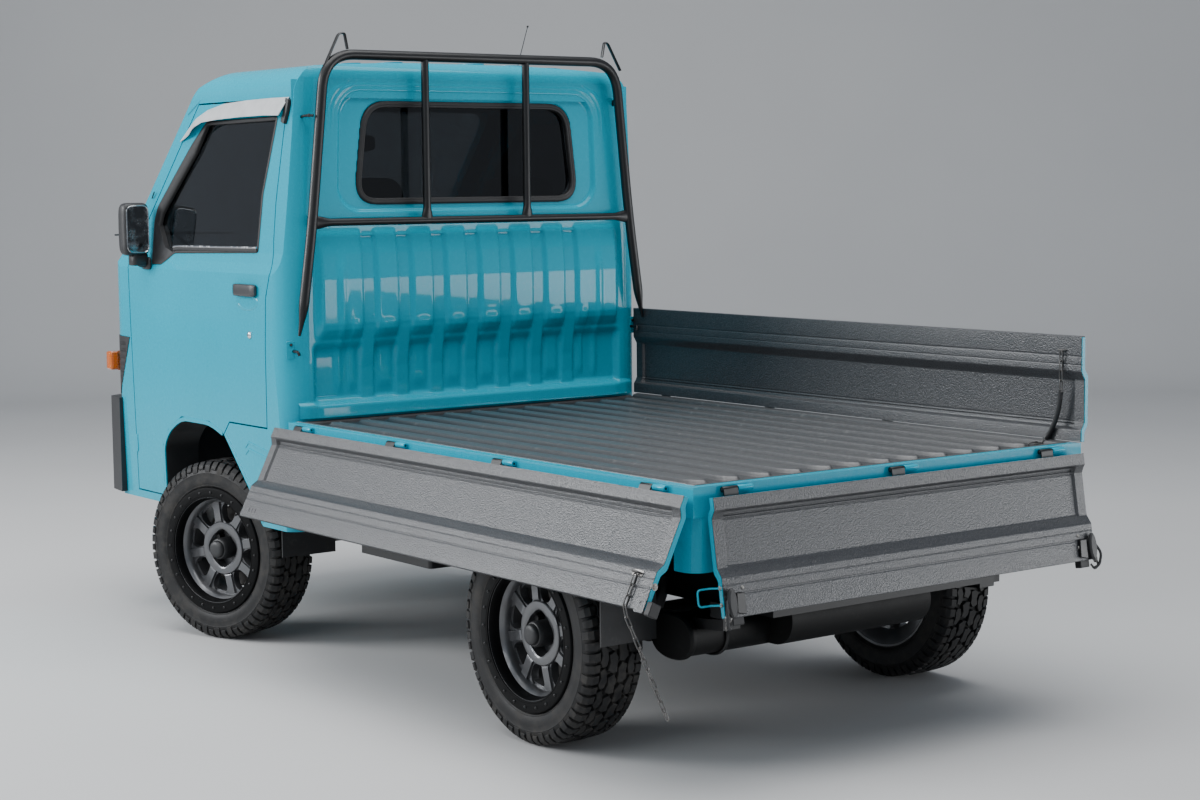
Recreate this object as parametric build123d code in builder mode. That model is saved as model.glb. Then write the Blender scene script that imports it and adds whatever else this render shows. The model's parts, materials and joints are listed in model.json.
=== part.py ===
from build123d import *
from math import cos, radians, sin, tan
import os

os.makedirs("parts", exist_ok=True)

# Millimetres. +X is forward, +Y is left, +Z is up, the ground is z = 0.
# Lengths along the truck are given forward of the bed's rear rail face.

# Driving dimensions of the whole truck
overall_length = 3295      # gates closed, over the front bumper
overall_width = 1395       # over the closed side gates
wheelbase = 1840
rear_axle_at = 650         # rear axle forward of the bed's rear face

# Bed
bed_length = 1950
bed_top = 746              # top of the bed rail
rail_depth = 74
rail_width = 35
rail_recess = 7.5          # rail face inboard of the closed gate's outer face
floor_drop = 14            # floor sheet below the rail top
floor_sheet = 12
rib_count = 12
rib_pitch = 104
rib_width = 62
rib_height = 9
rib_end_margin = 62        # rib end short of the floor's end
rib_nose = 70
corner_radius = 42
skirt_drop = 135
skirt_reach = 74
skirt_sheet = 6

# Gates
gate_height = 288
gate_thickness = 26
gate_end_overrun = 16      # side gate's rear end behind the rear rail face
gate_front_end = 1972      # side gate's front end
gate_lift = 5              # gap between the rail top and a closed gate
seat_gap = 0.3             # gap between pieces that are bolted face to face
side_open_angle = 154      # side gate hanging open, turned from closed
rear_open_angle = 171      # rear gate hanging open
gate_rear_half_width = 660
pivot_outboard = 7.5       # hinge line outboard of the rail face
pivot_drop = 11            # hinge line below the rail top
barrel_radius = 7
barrel_length = 46
barrel_gap = 1
chain_link_length = 38
chain_link_width = 15
chain_wire = 4
chain_slack = 0.3

# Cab
cab_back_at = bed_length + 5
cab_front_at = 3250
cab_half_width = 695
cab_bottom = 400
cab_wall = 38
crease_height = 965
roof_height = 1855
roof_split = 1738
door_gap = 5
arch_top = 708
floor_pan = 478
seat_deck = 712
pan_sheet = 14

# Rear window and windscreen
window_low_half = 432      # rear window over its seal, lower and upper half width
window_top_half = 394
window_low = 1411
window_high = 1727
window_radius = 75
window_recess = 12         # panel round the rear window set in from the back
glass_sheet = 5
seal_width = 16

# Wheels and tyres
tyre_radius = 292
tyre_width = 180
tread_half_width = 74
wheel_track_half = 640     # middle of the tyre from the centre line
bead_radius = 190.5
ring_radius = 207
stub_radius = 16
stub_clearance = 0.05
bead_clearance = 0.3
spoke_count = 8
steer_axis_half = 520      # steering axis from the centre line
steer_rest = 18            # front wheels turned left at rest

# Leaf springs
spring_y = 460
spring_half_span = 520
spring_rise = 28
spring_stack = 28
spring_width = 56

# Chassis
frame_half = 350
frame_rail_width = 50
frame_rail_height = 90
frame_bottom = 382
frame_rear_at = 70
frame_front_at = 3120

# Derived places
pivot_y = overall_width / 2 - rail_recess + pivot_outboard
pivot_z = bed_top - pivot_drop
rail_face = overall_width / 2 - rail_recess
gate_bottom = gate_lift + pivot_drop
gate_inner = rail_recess - pivot_outboard - gate_thickness
gate_outer = rail_recess - pivot_outboard
gate_reach = (
    pivot_outboard
    + gate_inner * cos(radians(rear_open_angle))
    + (gate_bottom + gate_height) * sin(radians(rear_open_angle))
)
bumper_front_at = overall_length - rail_recess
bed_rear_x = -(bumper_front_at - gate_reach) / 2
front_axle_at = rear_axle_at + wheelbase


def at(distance):
    """Place along X of a distance forward of the bed's rear face."""
    return bed_rear_x + distance


pieces = {}


# Bed floor: a sheet with lengthwise ribs that taper to a nose at each end
floor_z = bed_top - floor_drop
floor_length = bed_length - rail_width
floor_half = rail_face - rail_width
rib_length = floor_length - 2 * rib_end_margin
with BuildPart() as bed_floor:
    with BuildSketch(Plane.XY.offset(floor_z - floor_sheet)):
        with Locations((at(rail_width + floor_length / 2), 0)):
            Rectangle(floor_length, 2 * floor_half)
    extrude(amount=floor_sheet)
    with BuildSketch(Plane.XY.offset(floor_z)):
        with Locations((at(rail_width + floor_length / 2), 0)):
            with GridLocations(0, rib_pitch, 1, rib_count):
                Polygon(
                    (-rib_length / 2, 0), (rib_nose - rib_length / 2, -rib_width / 2),
                    (rib_length / 2 - rib_nose, -rib_width / 2), (rib_length / 2, 0),
                    (rib_length / 2 - rib_nose, rib_width / 2),
                    (rib_nose - rib_length / 2, rib_width / 2), align=None,
                )
    extrude(amount=rib_height, taper=45)
pieces["bed_floor"] = bed_floor

# Bed rail: a frame round the floor with rounded skirts below its rear corners
with BuildPart() as bed_rails:
    with BuildSketch(Plane.XY.offset(bed_top - rail_depth)):
        with Locations((at(bed_length / 2), 0)):
            Rectangle(bed_length, 2 * rail_face)
        with Locations((at(rail_width + bed_length / 2), 0)):
            Rectangle(bed_length, 2 * floor_half, mode=Mode.SUBTRACT)
    extrude(amount=rail_depth)
    for side in (1, -1):
        with BuildSketch(Plane.XY.offset(bed_top - rail_depth - skirt_drop)):
            with BuildLine():
                Polyline(
                    (at(skirt_reach), side * rail_face),
                    (at(corner_radius), side * rail_face),
                )
                RadiusArc(
                    (at(corner_radius), side * rail_face),
                    (at(0), side * (rail_face - corner_radius)), -side * corner_radius,
                )
                Polyline(
                    (at(0), side * (rail_face - corner_radius)),
                    (at(0), side * (rail_face - skirt_reach)),
                    (at(skirt_sheet), side * (rail_face - skirt_reach)),
                    (at(skirt_sheet), side * (rail_face - corner_radius)),
                )
                RadiusArc(
                    (at(skirt_sheet), side * (rail_face - corner_radius)),
                    (at(corner_radius), side * (rail_face - skirt_sheet)),
                    side * (corner_radius - skirt_sheet),
                )
                Polyline(
                    (at(corner_radius), side * (rail_face - skirt_sheet)),
                    (at(skirt_reach), side * (rail_face - skirt_sheet)),
                    (at(skirt_reach), side * rail_face),
                )
            make_face()
        extrude(amount=skirt_drop)


# Gates: one pressed section carried along each hinge line
def gate_plane(outward, up, along, angle):
    """Plane of a gate's section: local x is its thickness, outward, local y its height."""
    x_dir = outward * cos(radians(angle)) - up * sin(radians(angle))
    return Plane(origin=along, x_dir=x_dir, z_dir=outward.cross(up))


# Outer face of the section: height above the gate's bottom edge, depth set back
outer_steps = [(0, 7), (22, 7), (40, 0), (178, 0), (196, 7), (gate_height, 7)]
# Recess of the inner face: height above the bottom edge, depth
recess_steps = [
    (34, 0), (40, 8), (48, 8), (54, 13), (172, 13), (180, 4), (188, 4), (194, 0),
]
recess_margin = 40         # flat margin beside the recess at each end
# Name, outward direction, hinge point, half length, rest angle, hinge places
side_mid = at((gate_front_end - gate_end_overrun) / 2)
side_half = (gate_front_end + gate_end_overrun) / 2
side_hinges = [at(141) - side_mid, at(779) - side_mid, at(1314) - side_mid, at(1844) - side_mid]
rear_hinges = [-560, 0, 560]
gate_table = [
    ("gate_left", Vector(0, 1, 0), (side_mid, pivot_y, pivot_z), side_half, side_open_angle,
     side_hinges),
    ("gate_right", Vector(0, -1, 0), (side_mid, -pivot_y, pivot_z), side_half, 0,
     [-place for place in side_hinges]),
    ("gate_rear", Vector(-1, 0, 0), (at(-pivot_outboard), 0, pivot_z), gate_rear_half_width,
     rear_open_angle, rear_hinges),
]
leaf_sheet = 4
leaf_height = gate_bottom + 20
up = Vector(0, 0, 1)
for gate_name, outward, hinge_point, half_length, angle, hinges in gate_table:
    plane = gate_plane(outward, up, hinge_point, angle)
    with BuildPart() as gate:
        with BuildSketch(plane.offset(-half_length)):
            with BuildLine():
                Polyline(
                    *[(gate_outer - depth, gate_bottom + height) for height, depth in outer_steps],
                    (gate_inner, gate_bottom + gate_height), (gate_inner, gate_bottom), close=True,
                )
            make_face()
        extrude(amount=2 * half_length)
        with BuildSketch(plane.offset(recess_margin - half_length)):
            with BuildLine():
                Polyline(
                    *[(gate_inner + depth, gate_bottom + height) for height, depth in recess_steps],
                    close=True,
                )
            make_face()
        extrude(amount=2 * (half_length - recess_margin), mode=Mode.SUBTRACT)
        for place in hinges:
            with BuildSketch(plane.offset(place + barrel_gap)):
                Circle(barrel_radius)
                with Locations((leaf_sheet / 2 - barrel_radius, leaf_height / 2)):
                    Rectangle(leaf_sheet, leaf_height)
            extrude(amount=barrel_length)
    pieces[gate_name] = gate

# Rail side of the hinges: barrels on the rail's face beside the gates' barrels
with BuildPart() as rails_with_hinges:
    add(bed_rails.part)
    for gate_name, outward, hinge_point, half_length, angle, hinges in gate_table:
        plane = gate_plane(outward, up, hinge_point, 0)
        for place in hinges:
            with BuildSketch(plane.offset(place - barrel_gap - barrel_length)):
                Circle(barrel_radius)
                with Locations((-pivot_outboard / 2, -barrel_radius / 2)):
                    Rectangle(pivot_outboard, barrel_radius)
            extrude(amount=barrel_length)
pieces["bed_rails"] = rails_with_hinges

# Latches at the rear gate's free corners, on its inner face
latch_size = (16, 62, 34)
with BuildPart() as gate_latches:
    latch_plane = gate_plane(
        Vector(-1, 0, 0), up, (at(-pivot_outboard), 0, pivot_z), rear_open_angle
    )
    for side in (1, -1):
        edge = side * (gate_rear_half_width - latch_size[2] / 2 + 6)
        with BuildSketch(latch_plane.offset(edge - latch_size[2] / 2)):
            with Locations((gate_inner - latch_size[0] / 2, gate_bottom + gate_height - 40)):
                Rectangle(latch_size[0], latch_size[1])
        extrude(amount=latch_size[2])
pieces["gate_latches"] = gate_latches


# Chains: long links, each turned a quarter from the last and meeting the next at its bends
def link_outline(length, width, cut):
    """Corners of a link's outline with its four corners cut off."""
    quarter = [(length / 2, width / 2 - cut), (length / 2 - cut, width / 2)]
    half = quarter + [(-x, y) for x, y in reversed(quarter)]
    return half + [(-x, -y) for x, y in half]


def chain_along(corners, links):
    """Links laid end to end along straight runs between the corners."""
    pitch = chain_link_length - 2 * chain_wire - chain_slack
    path = Polyline(*corners)
    with BuildPart(mode=Mode.PRIVATE) as run:
        for number in range(links):
            start = path @ (number * pitch / path.length)
            end = path @ ((number + 1) * pitch / path.length)
            direction = (end - start).normalized()
            flat = direction.cross(Vector(1, 0, 0)).normalized()
            normal = flat if number % 2 else direction.cross(flat)
            with BuildSketch(Plane(origin=(start + end) / 2, x_dir=direction, z_dir=normal)):
                Polygon(*link_outline(chain_link_length, chain_link_width, chain_wire), align=None)
                Polygon(
                    *link_outline(
                        chain_link_length - 2 * chain_wire, chain_link_width - 2 * chain_wire,
                        chain_wire / 2,
                    ),
                    align=None, mode=Mode.SUBTRACT,
                )
            extrude(amount=chain_wire / 2, both=True)
    return run.part


# The left chain lies on the open gate from its staple to the edge and hangs from there
staple_at = 50
staple_height = 79         # staple from the gate's free edge
chain_off = chain_link_width / 2 + 0.3
left_gate_plane = gate_plane(Vector(0, 1, 0), up, (side_mid, pivot_y, pivot_z), side_open_angle)
chain_plane = left_gate_plane.offset(at(staple_at) - side_mid)
left_staple = chain_plane.from_local_coords(
    (gate_inner - chain_off, gate_bottom + gate_height - staple_height, 0)
)
left_edge = chain_plane.from_local_coords(
    (gate_inner - chain_off - 2, gate_bottom + gate_height + chain_off, 0)
)
left_end = Vector(at(-50), 815, 219)
left_links = chain_along([left_staple, left_edge, left_end], 11)
with BuildPart() as chain_left:
    add(left_links)
pieces["chain_left"] = chain_left

# The right chain runs from its gate down to the floor, its lower end in a sleeve
right_face = -(pivot_y + gate_inner) + chain_off
right_hook = Vector(at(52), right_face, 996)
sleeve_top = Vector(at(52), right_face, 880)
sleeve_low = Vector(at(100), right_face, 756)
sleeve_radius = 6
right_links = chain_along([right_hook, sleeve_top - Vector(0, 0, 3 * chain_wire)], 4)
with BuildPart() as chain_right:
    add(right_links)
    sleeve_dir = (sleeve_low - sleeve_top).normalized()
    with BuildSketch(Plane(origin=sleeve_top, z_dir=sleeve_dir)):
        Circle(sleeve_radius)
    extrude(amount=(sleeve_low - sleeve_top).length)
pieces["chain_right"] = chain_right

# Cab: the outer form is where three outlines carried along X, Y and Z meet a bowed screen
screen_high = (2700, 1736)
screen_low = (3200, 1200)
screen_bow = 48            # screen's edge behind its middle at the reach
screen_reach = 760
screen_plane = Plane(
    origin=(at(screen_high[0]), 0, screen_high[1]), x_dir=(0, 1, 0),
    z_dir=(screen_low[0] - screen_high[0], 0, screen_low[1] - screen_high[1]),
)
back_radius = 84
roof_edge = (640, 1740)
roof_shoulder = (545, 1837)
# Side section from the crease up: depth inside the half width, height
side_section = [(0, crease_height), (1, 1196), (12, 1228), (19, 1262)]


def cab_form(inset, low=cab_bottom):
    """Closed form of the cab above a height, its walls moved inward by the inset."""
    back = cab_back_at + inset
    front = cab_front_at - inset
    with BuildPart(mode=Mode.PRIVATE) as form:
        with BuildSketch(Plane.XZ.offset(-overall_width / 2)):
            with BuildLine():
                shift = inset * 1.37
                Line((at(back), low), (at(back), roof_height - 65 - inset))
                ThreePointArc(
                    (at(back), roof_height - 65 - inset), (at(back + 17), roof_height - 19 - inset),
                    (at(back + 60), roof_height - 1 - inset),
                )
                Line((at(back + 60), roof_height - 1 - inset), (at(2200), roof_height + 2 - inset))
                ThreePointArc(
                    (at(2200), roof_height + 2 - inset), (at(2480 - shift / 2), roof_height - 20 - inset),
                    (at(screen_high[0] - shift), screen_high[1] - inset),
                )
                Polyline(
                    (at(screen_high[0] - shift), screen_high[1] - inset),
                    (at(screen_low[0] - shift), screen_low[1] - inset),
                    (at(front - 8), 1120 - inset), (at(front), 780), (at(front - 10), low),
                    (at(back), low),
                )
            make_face()
        extrude(amount=overall_width)
        with BuildSketch(Plane.YZ.offset(at(0))):
            with BuildLine():
                wide = cab_half_width - inset
                right = [(-wide + 14, low)] + [(depth - wide, z) for depth, z in side_section]
                left = [(-y, z) for y, z in reversed(right)]
                edge_y, edge_z = roof_edge[0] - inset, roof_edge[1] - inset
                side_y, side_z = right[-1]
                shoulder_y, shoulder_z = roof_shoulder[0] - inset, roof_shoulder[1] - inset
                Line((-side_y, side_z), (edge_y, edge_z))
                ThreePointArc(
                    (edge_y, edge_z), (edge_y - 18, (edge_z + shoulder_z) / 2 + 11),
                    (shoulder_y, shoulder_z),
                )
                ThreePointArc(
                    (shoulder_y, shoulder_z), (0, roof_height - inset), (-shoulder_y, shoulder_z),
                )
                ThreePointArc(
                    (-shoulder_y, shoulder_z), (18 - edge_y, (edge_z + shoulder_z) / 2 + 11),
                    (-edge_y, edge_z),
                )
                Line((-edge_y, edge_z), (side_y, side_z))
                Polyline(*reversed(right), *reversed(left))
            make_face()
        extrude(amount=overall_length, mode=Mode.INTERSECT)
        with BuildSketch(Plane.XY.offset(low - 1)):
            with BuildLine():
                middle = back_radius * (1 - cos(radians(45)))
                Line((at(front - 150), -wide), (at(back + back_radius), -wide))
                ThreePointArc(
                    (at(back + back_radius), -wide), (at(back + middle), middle - wide),
                    (at(back), back_radius - wide),
                )
                Line((at(back), back_radius - wide), (at(back), wide - back_radius))
                ThreePointArc(
                    (at(back), wide - back_radius), (at(back + middle), wide - middle),
                    (at(back + back_radius), wide),
                )
                Line((at(back + back_radius), wide), (at(front - 150), wide))
                ThreePointArc(
                    (at(front - 150), wide), (at(front - 48), wide - 52), (at(front - 10), wide - 180),
                )
                ThreePointArc(
                    (at(front - 10), wide - 180), (at(front + 8), 0), (at(front - 10), 180 - wide),
                )
                ThreePointArc(
                    (at(front - 10), 180 - wide), (at(front - 48), 52 - wide),
                    (at(front - 150), -wide),
                )
            make_face()
        extrude(amount=roof_height, mode=Mode.INTERSECT)
        with BuildSketch(screen_plane.offset(-overall_length)):
            with BuildLine():
                Polyline(
                    (-screen_reach, -inset - screen_bow), (-screen_reach, -overall_length),
                    (screen_reach, -overall_length), (screen_reach, -inset - screen_bow),
                )
                ThreePointArc(
                    (screen_reach, -inset - screen_bow), (0, -inset),
                    (-screen_reach, -inset - screen_bow),
                )
            make_face()
        extrude(amount=2 * overall_length, mode=Mode.INTERSECT)
    return form.part


cab_shell = cab_form(0) - cab_form(cab_wall, cab_bottom - cab_wall)

# Door outline in side view, as distance along the truck and height, and the arch
door_outline = [
    (2092, 718), (2072, 1124), (2043, 1202), (2050, 1300), (2046, 1419), (2022, 1594),
    (1999, roof_split - door_gap), (2585, roof_split - door_gap),
    (3040, 1225), (3028, 955), (3028, 430), (2815, 430), (2815, 600), (2770, 650), (2680, 695),
    (2480, 695), (2390, 668), (2340, 718),
]
arch_outline = [
    (2110, 380), (2150, 404), (2205, 490), (2379, 673), (2480, arch_top), (2680, arch_top),
    (2785, 655), (2828, 600), (2832, 480), (2825, 380),
]
window_outline = [
    (2144, 1264), (2128, 1442), (2055, 1680), (2526, 1676), (2626, 1593), (2740, 1494),
    (2850, 1395), (2868, 1350), (2866, 1213), (2798, 1213), (2716, 1252),
]
visor_outline = [
    (2006, 1684), (1990, 1732), (2412, 1731), (2520, 1712), (2596, 1684), (2690, 1628),
    (2640, 1640), (2548, 1673), (2305, 1681),
]
cab_depth = cab_half_width + 20


def side_prism(outline, reach, middle=0):
    """Outline in side view carried across the truck from the middle out to both sides."""
    with BuildPart(mode=Mode.PRIVATE) as prism:
        with BuildSketch(Plane.XZ.offset(-middle)):
            with BuildLine():
                Polyline(*[(at(x), z) for x, z in outline], close=True)
            make_face()
        extrude(amount=-reach)
    return prism.part


door_inner = 560
door_reach = cab_depth - door_inner
door_solid = {}
door_opening = {}
for side_name, side in (("left", 1), ("right", -1)):
    start = door_inner * side
    door_solid[side_name] = side_prism(door_outline, side * door_reach, start)
    with BuildPart(mode=Mode.PRIVATE) as opening:
        with BuildSketch(Plane.XZ.offset(-start)):
            with BuildLine():
                Polyline(*[(at(x), z) for x, z in door_outline], close=True)
            make_face()
            offset(amount=door_gap, kind=Kind.INTERSECTION)
        extrude(amount=-side * door_reach)
    door_opening[side_name] = opening.part

arch_cut = side_prism(arch_outline, cab_depth) + side_prism(arch_outline, -cab_depth)
window_cut = side_prism(window_outline, cab_depth) + side_prism(window_outline, -cab_depth)


def slab(low_x, high_x, low_z, high_z):
    """Plain block across the whole cab between two distances and two heights."""
    with BuildPart(mode=Mode.PRIVATE) as block:
        with BuildSketch(Plane.XY.offset(low_z)):
            with Locations((at((low_x + high_x) / 2), 0)):
                Rectangle(high_x - low_x, 2 * cab_depth)
        extrude(amount=high_z - low_z)
    return block.part


openings = door_opening["left"] + door_opening["right"] + arch_cut
cab_split_at = 2500

# Cab back: a ribbed bulge that overhangs the lower wall, and a panel set in round the window.
# Sections are distance behind (-) or ahead (+) of the back's plane, and height.
bulge_section = [
    (1, 1328), (-14, 1270), (-20, 1180), (-20, 1060), (-12, 1030), (22, 968), (37, 968),
    (37, 1328),
]
lower_recess = [(-1, 1000), (20, 968), (20, 812), (-1, 786)]
groove_section = [
    (-31, 1318), (8, 1312), (-2, 1262), (-6, 1180), (-6, 1065), (4, 1030), (26, 985), (26, 822),
    (-31, 822),
]
bulge_half = 525
lower_half = 600
groove_count = 7
groove_pitch = 130
groove_width = 68
recess_outline = [(-506, 1381), (506, 1381), (494, 1765), (-494, 1765)]
recess_radius = 70


def back_block(section, half_width):
    """Section in side view behind or ahead of the cab's back, carried across the truck."""
    with BuildPart(mode=Mode.PRIVATE) as block:
        with BuildSketch(Plane.XZ.offset(-half_width)):
            with BuildLine():
                Polyline(*[(at(cab_back_at + x), z) for x, z in section], close=True)
            make_face()
        extrude(amount=2 * half_width)
    return block.part


def window_block(grow, start, length):
    """Rear window outline grown by an amount, carried forward from behind the cab's back."""
    with BuildPart(mode=Mode.PRIVATE) as block:
        with BuildSketch(Plane.YZ.offset(at(cab_back_at + start))):
            Polygon(
                (-window_low_half - grow, window_low - grow),
                (window_low_half + grow, window_low - grow),
                (window_top_half + grow, window_high + grow),
                (-window_top_half - grow, window_high + grow), align=None,
            )
            fillet(vertices(), window_radius + grow)
        extrude(amount=length)
    return block.part


groove = back_block(groove_section, groove_width / 2)
with BuildPart() as cab_back:
    add(cab_shell & slab(cab_back_at - 30, cab_split_at, cab_bottom - 10, roof_split))
    add(openings, mode=Mode.SUBTRACT)
    add(back_block(lower_recess, lower_half), mode=Mode.SUBTRACT)
    add(back_block(bulge_section, bulge_half))
    with GridLocations(0, groove_pitch, 1, groove_count):
        add(groove, mode=Mode.SUBTRACT)
    with BuildSketch(Plane.YZ.offset(at(cab_back_at - 40))):
        Polygon(*recess_outline, align=None)
        fillet(vertices(), recess_radius)
    extrude(amount=40 + window_recess, mode=Mode.SUBTRACT)
    add(window_block(0, -40, 200), mode=Mode.SUBTRACT)
    with BuildSketch(Plane.XY.offset(cab_bottom - 5)):
        with Locations((at(cab_back_at + 200), 0)):
            Rectangle(560, 2 * (cab_half_width - cab_wall - 20))
    extrude(amount=seat_deck - pan_sheet - cab_bottom + 4, mode=Mode.SUBTRACT)
pieces["cab_back"] = cab_back

# Cab roof with lengthwise ribs
roof_ribs = 6
roof_rib_height = 4
with BuildPart() as cab_roof:
    add(cab_shell & slab(cab_back_at - 30, overall_length, roof_split, roof_height + 40))
    with BuildSketch(Plane.XY.offset(roof_height - 60)):
        with Locations((at(2225), 0)):
            with GridLocations(0, 156, 1, roof_ribs):
                SlotOverall(420, 74)
    rib_blocks = extrude(amount=100, mode=Mode.PRIVATE)
    add(rib_blocks & cab_form(-roof_rib_height))
    add(cab_form(cab_wall, cab_bottom - cab_wall), mode=Mode.SUBTRACT)
pieces["cab_roof"] = cab_roof

# Pockets in the cab's front corners for lamps, turn signals and vents
vent_outline = [(3154, 958), (3042, 955), (3138, 752), (3158, 757)]
vent_slots = 7
vent_pitch = 24


def paired_box(low_x, high_x, low_y, high_y, low_z, high_z):
    """The same block on both sides of the truck."""
    with BuildPart(mode=Mode.PRIVATE) as boxes:
        with BuildSketch(Plane.XY.offset(low_z)):
            with Locations((at((low_x + high_x) / 2), 0)):
                with GridLocations(0, low_y + high_y, 1, 2):
                    Rectangle(high_x - low_x, high_y - low_y)
        extrude(amount=high_z - low_z)
    return boxes.part


def lamp_box(grow):
    """Head lamp bodies."""
    return paired_box(
        overall_length - 105 - grow, overall_length - 5, 410 - grow, 600 + grow,
        768 - grow, 905 + grow,
    )


def signal_box(grow):
    """Turn signals round the front corners."""
    return paired_box(
        overall_length - 123 - grow, overall_length - 5, 618 - grow, 720,
        832 - grow, 900 + grow,
    )


def vent_box(grow):
    """Air vents at the front corners."""
    with BuildPart(mode=Mode.PRIVATE) as vents:
        for side in (1, -1):
            with BuildSketch(Plane.XZ.offset(-side * 668)):
                with BuildLine():
                    Polyline(*[(at(x), z) for x, z in vent_outline], close=True)
                make_face()
                if grow:
                    offset(amount=grow, kind=Kind.INTERSECTION)
            extrude(amount=-side * 60)
    return vents.part


# Cab front: front panel, scuttle, pillars and the windscreen opening
screen_half_width = 585
with BuildPart() as cab_front:
    add(cab_shell & slab(cab_split_at, overall_length, cab_bottom - 10, roof_split))
    add(openings, mode=Mode.SUBTRACT)
    with BuildSketch(Plane.YZ.offset(at(2600))):
        with BuildLine():
            Polyline(
                (-screen_half_width, 1228), (screen_half_width, 1228),
                (screen_half_width - 45, 1722), (-screen_half_width + 45, 1722), close=True,
            )
        make_face()
        fillet(vertices(), 50)
    extrude(amount=700, mode=Mode.SUBTRACT)
    for pocket in (lamp_box, signal_box, vent_box):
        add(pocket(0.4), mode=Mode.SUBTRACT)
pieces["cab_front"] = cab_front

for label, pocket, proud in (
    ("front_lamps", lamp_box, 3), ("turn_signals", signal_box, 8), ("corner_vents", vent_box, 2),
):
    with BuildPart() as fitting:
        add(pocket(0))
        add(cab_form(-proud), mode=Mode.INTERSECT)
        if label == "corner_vents":
            for side in (1, -1):
                for number in range(vent_slots):
                    with BuildSketch(Plane.XZ.offset(-side * (cab_half_width + 10))):
                        with Locations((at(3120), vent_outline[0][1] - 26 - number * vent_pitch)):
                            Rectangle(90, 11)
                    extrude(amount=side * 16, mode=Mode.SUBTRACT)
    pieces[label] = fitting

with BuildPart() as windscreen:
    add(cab_form(6) - cab_form(6 + glass_sheet))
    with BuildSketch(Plane.YZ.offset(at(2600))):
        with BuildLine():
            Polyline(
                (-screen_half_width + 1, 1229), (screen_half_width - 1, 1229),
                (screen_half_width - 46, 1721), (-screen_half_width + 46, 1721), close=True,
            )
        make_face()
        fillet(vertices(), 49)
    extrude(amount=700, mode=Mode.INTERSECT)
pieces["windscreen"] = windscreen

seal_start = window_recess - 5
with BuildPart() as rear_window:
    add(window_block(-seal_width - seat_gap, window_recess + 10, glass_sheet))
pieces["rear_window"] = rear_window

with BuildPart() as window_seal:
    add(window_block(-seat_gap, seal_start, cab_wall - seal_start - 1))
    add(window_block(-seal_width, seal_start, cab_wall), mode=Mode.SUBTRACT)
pieces["window_seal"] = window_seal

# Doors with their windows cut, glass, mirrors and rain visors. The right mirror is folded out.
mirror_reach = {"left": 790, "right": 846}
mirror_width = 96
mirror_low = 1240
mirror_height = 178
for side_name, side in (("left", 1), ("right", -1)):
    with BuildPart() as door:
        add(cab_shell & door_solid[side_name])
        add(arch_cut, mode=Mode.SUBTRACT)
        add(window_cut, mode=Mode.SUBTRACT)
        with BuildSketch(Plane.XZ.offset(-side * 670)):
            with Locations((at(3026), 590), (at(3026), 880)):
                Rectangle(2 * (3028 + door_gap - seat_gap - 3026), 60)
        extrude(amount=-side * 18)
    pieces["door_" + side_name] = door
    with BuildPart() as door_glass:
        add(cab_form(14) - cab_form(14 + glass_sheet))
        add(side_prism(window_outline, side * door_reach, side * door_inner), mode=Mode.INTERSECT)
    pieces["door_glass_" + side_name] = door_glass
    with BuildPart() as mirror:
        mirror_middle = side * (mirror_reach[side_name] - mirror_width / 2)
        with BuildSketch(Plane.XY.offset(mirror_low)):
            with Locations((at(2888), mirror_middle)):
                RectangleRounded(56, mirror_width, 22)
        extrude(amount=mirror_height)
        arm = mirror_reach[side_name] - 34 - cab_half_width
        with BuildSketch(Plane.XY.offset(1190)):
            with Locations((at(2888), side * (cab_half_width - 0.7 + arm / 2))):
                RectangleRounded(42, arm, 8)
        extrude(amount=50)
        with BuildSketch(Plane.XZ.offset(-side * (cab_half_width - 0.4))):
            with Locations((at(2191), 1143)):
                RectangleRounded(140, 40, 12)
        extrude(amount=-side * 14)
    pieces["door_fittings_" + side_name] = mirror
    with BuildPart() as rain_visor:
        add(cab_form(-6) - cab_form(-seat_gap))
        add(side_prism(visor_outline, side * door_reach, side * door_inner), mode=Mode.INTERSECT)
    pieces["rain_visor_" + side_name] = rain_visor

# Cab floor: foot well, riser, seat deck and wheel house walls
house_inner = 335
riser_at = 2862
with BuildPart() as cab_floor:
    with BuildSketch(Plane.XZ.offset(-600)):
        with BuildLine():
            Polyline(
                (at(cab_back_at + cab_wall + 2), seat_deck - pan_sheet),
                (at(riser_at - pan_sheet), seat_deck - pan_sheet),
                (at(riser_at - pan_sheet), floor_pan), (at(cab_front_at - cab_wall - 14), floor_pan),
                (at(cab_front_at - cab_wall - 14), floor_pan + pan_sheet),
                (at(riser_at), floor_pan + pan_sheet), (at(riser_at), seat_deck),
                (at(cab_back_at + cab_wall + 2), seat_deck), close=True,
            )
        make_face()
    extrude(amount=1200)
    for side in (1, -1):
        with BuildSketch(Plane.XY.offset(frame_bottom + frame_rail_height + 4)):
            with Locations((at((2120 + riser_at) / 2), side * house_inner)):
                Rectangle(riser_at - 2120 - 20, 6)
        extrude(amount=seat_deck - frame_bottom - frame_rail_height - 10)
    add(cab_form(cab_wall + seat_gap), mode=Mode.INTERSECT)
pieces["cab_floor"] = cab_floor

# Dashboard, seats, steering column and wheel
seat_half = 300
seat_width = 480
with BuildPart() as seats:
    for side in (1, -1):
        with BuildSketch(Plane.XZ.offset(-side * seat_half)):
            with BuildLine():
                Polyline(
                    (at(2190), seat_deck + seat_gap), (at(2740), seat_deck + seat_gap), (at(2780), 760), (at(2770), 815),
                    (at(2290), 790), (at(2110), 1390), (at(2035), 1390), (at(2050), 1250),
                    close=True,
                )
            make_face()
        extrude(amount=seat_width / 2, both=True)
pieces["seats"] = seats

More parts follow.
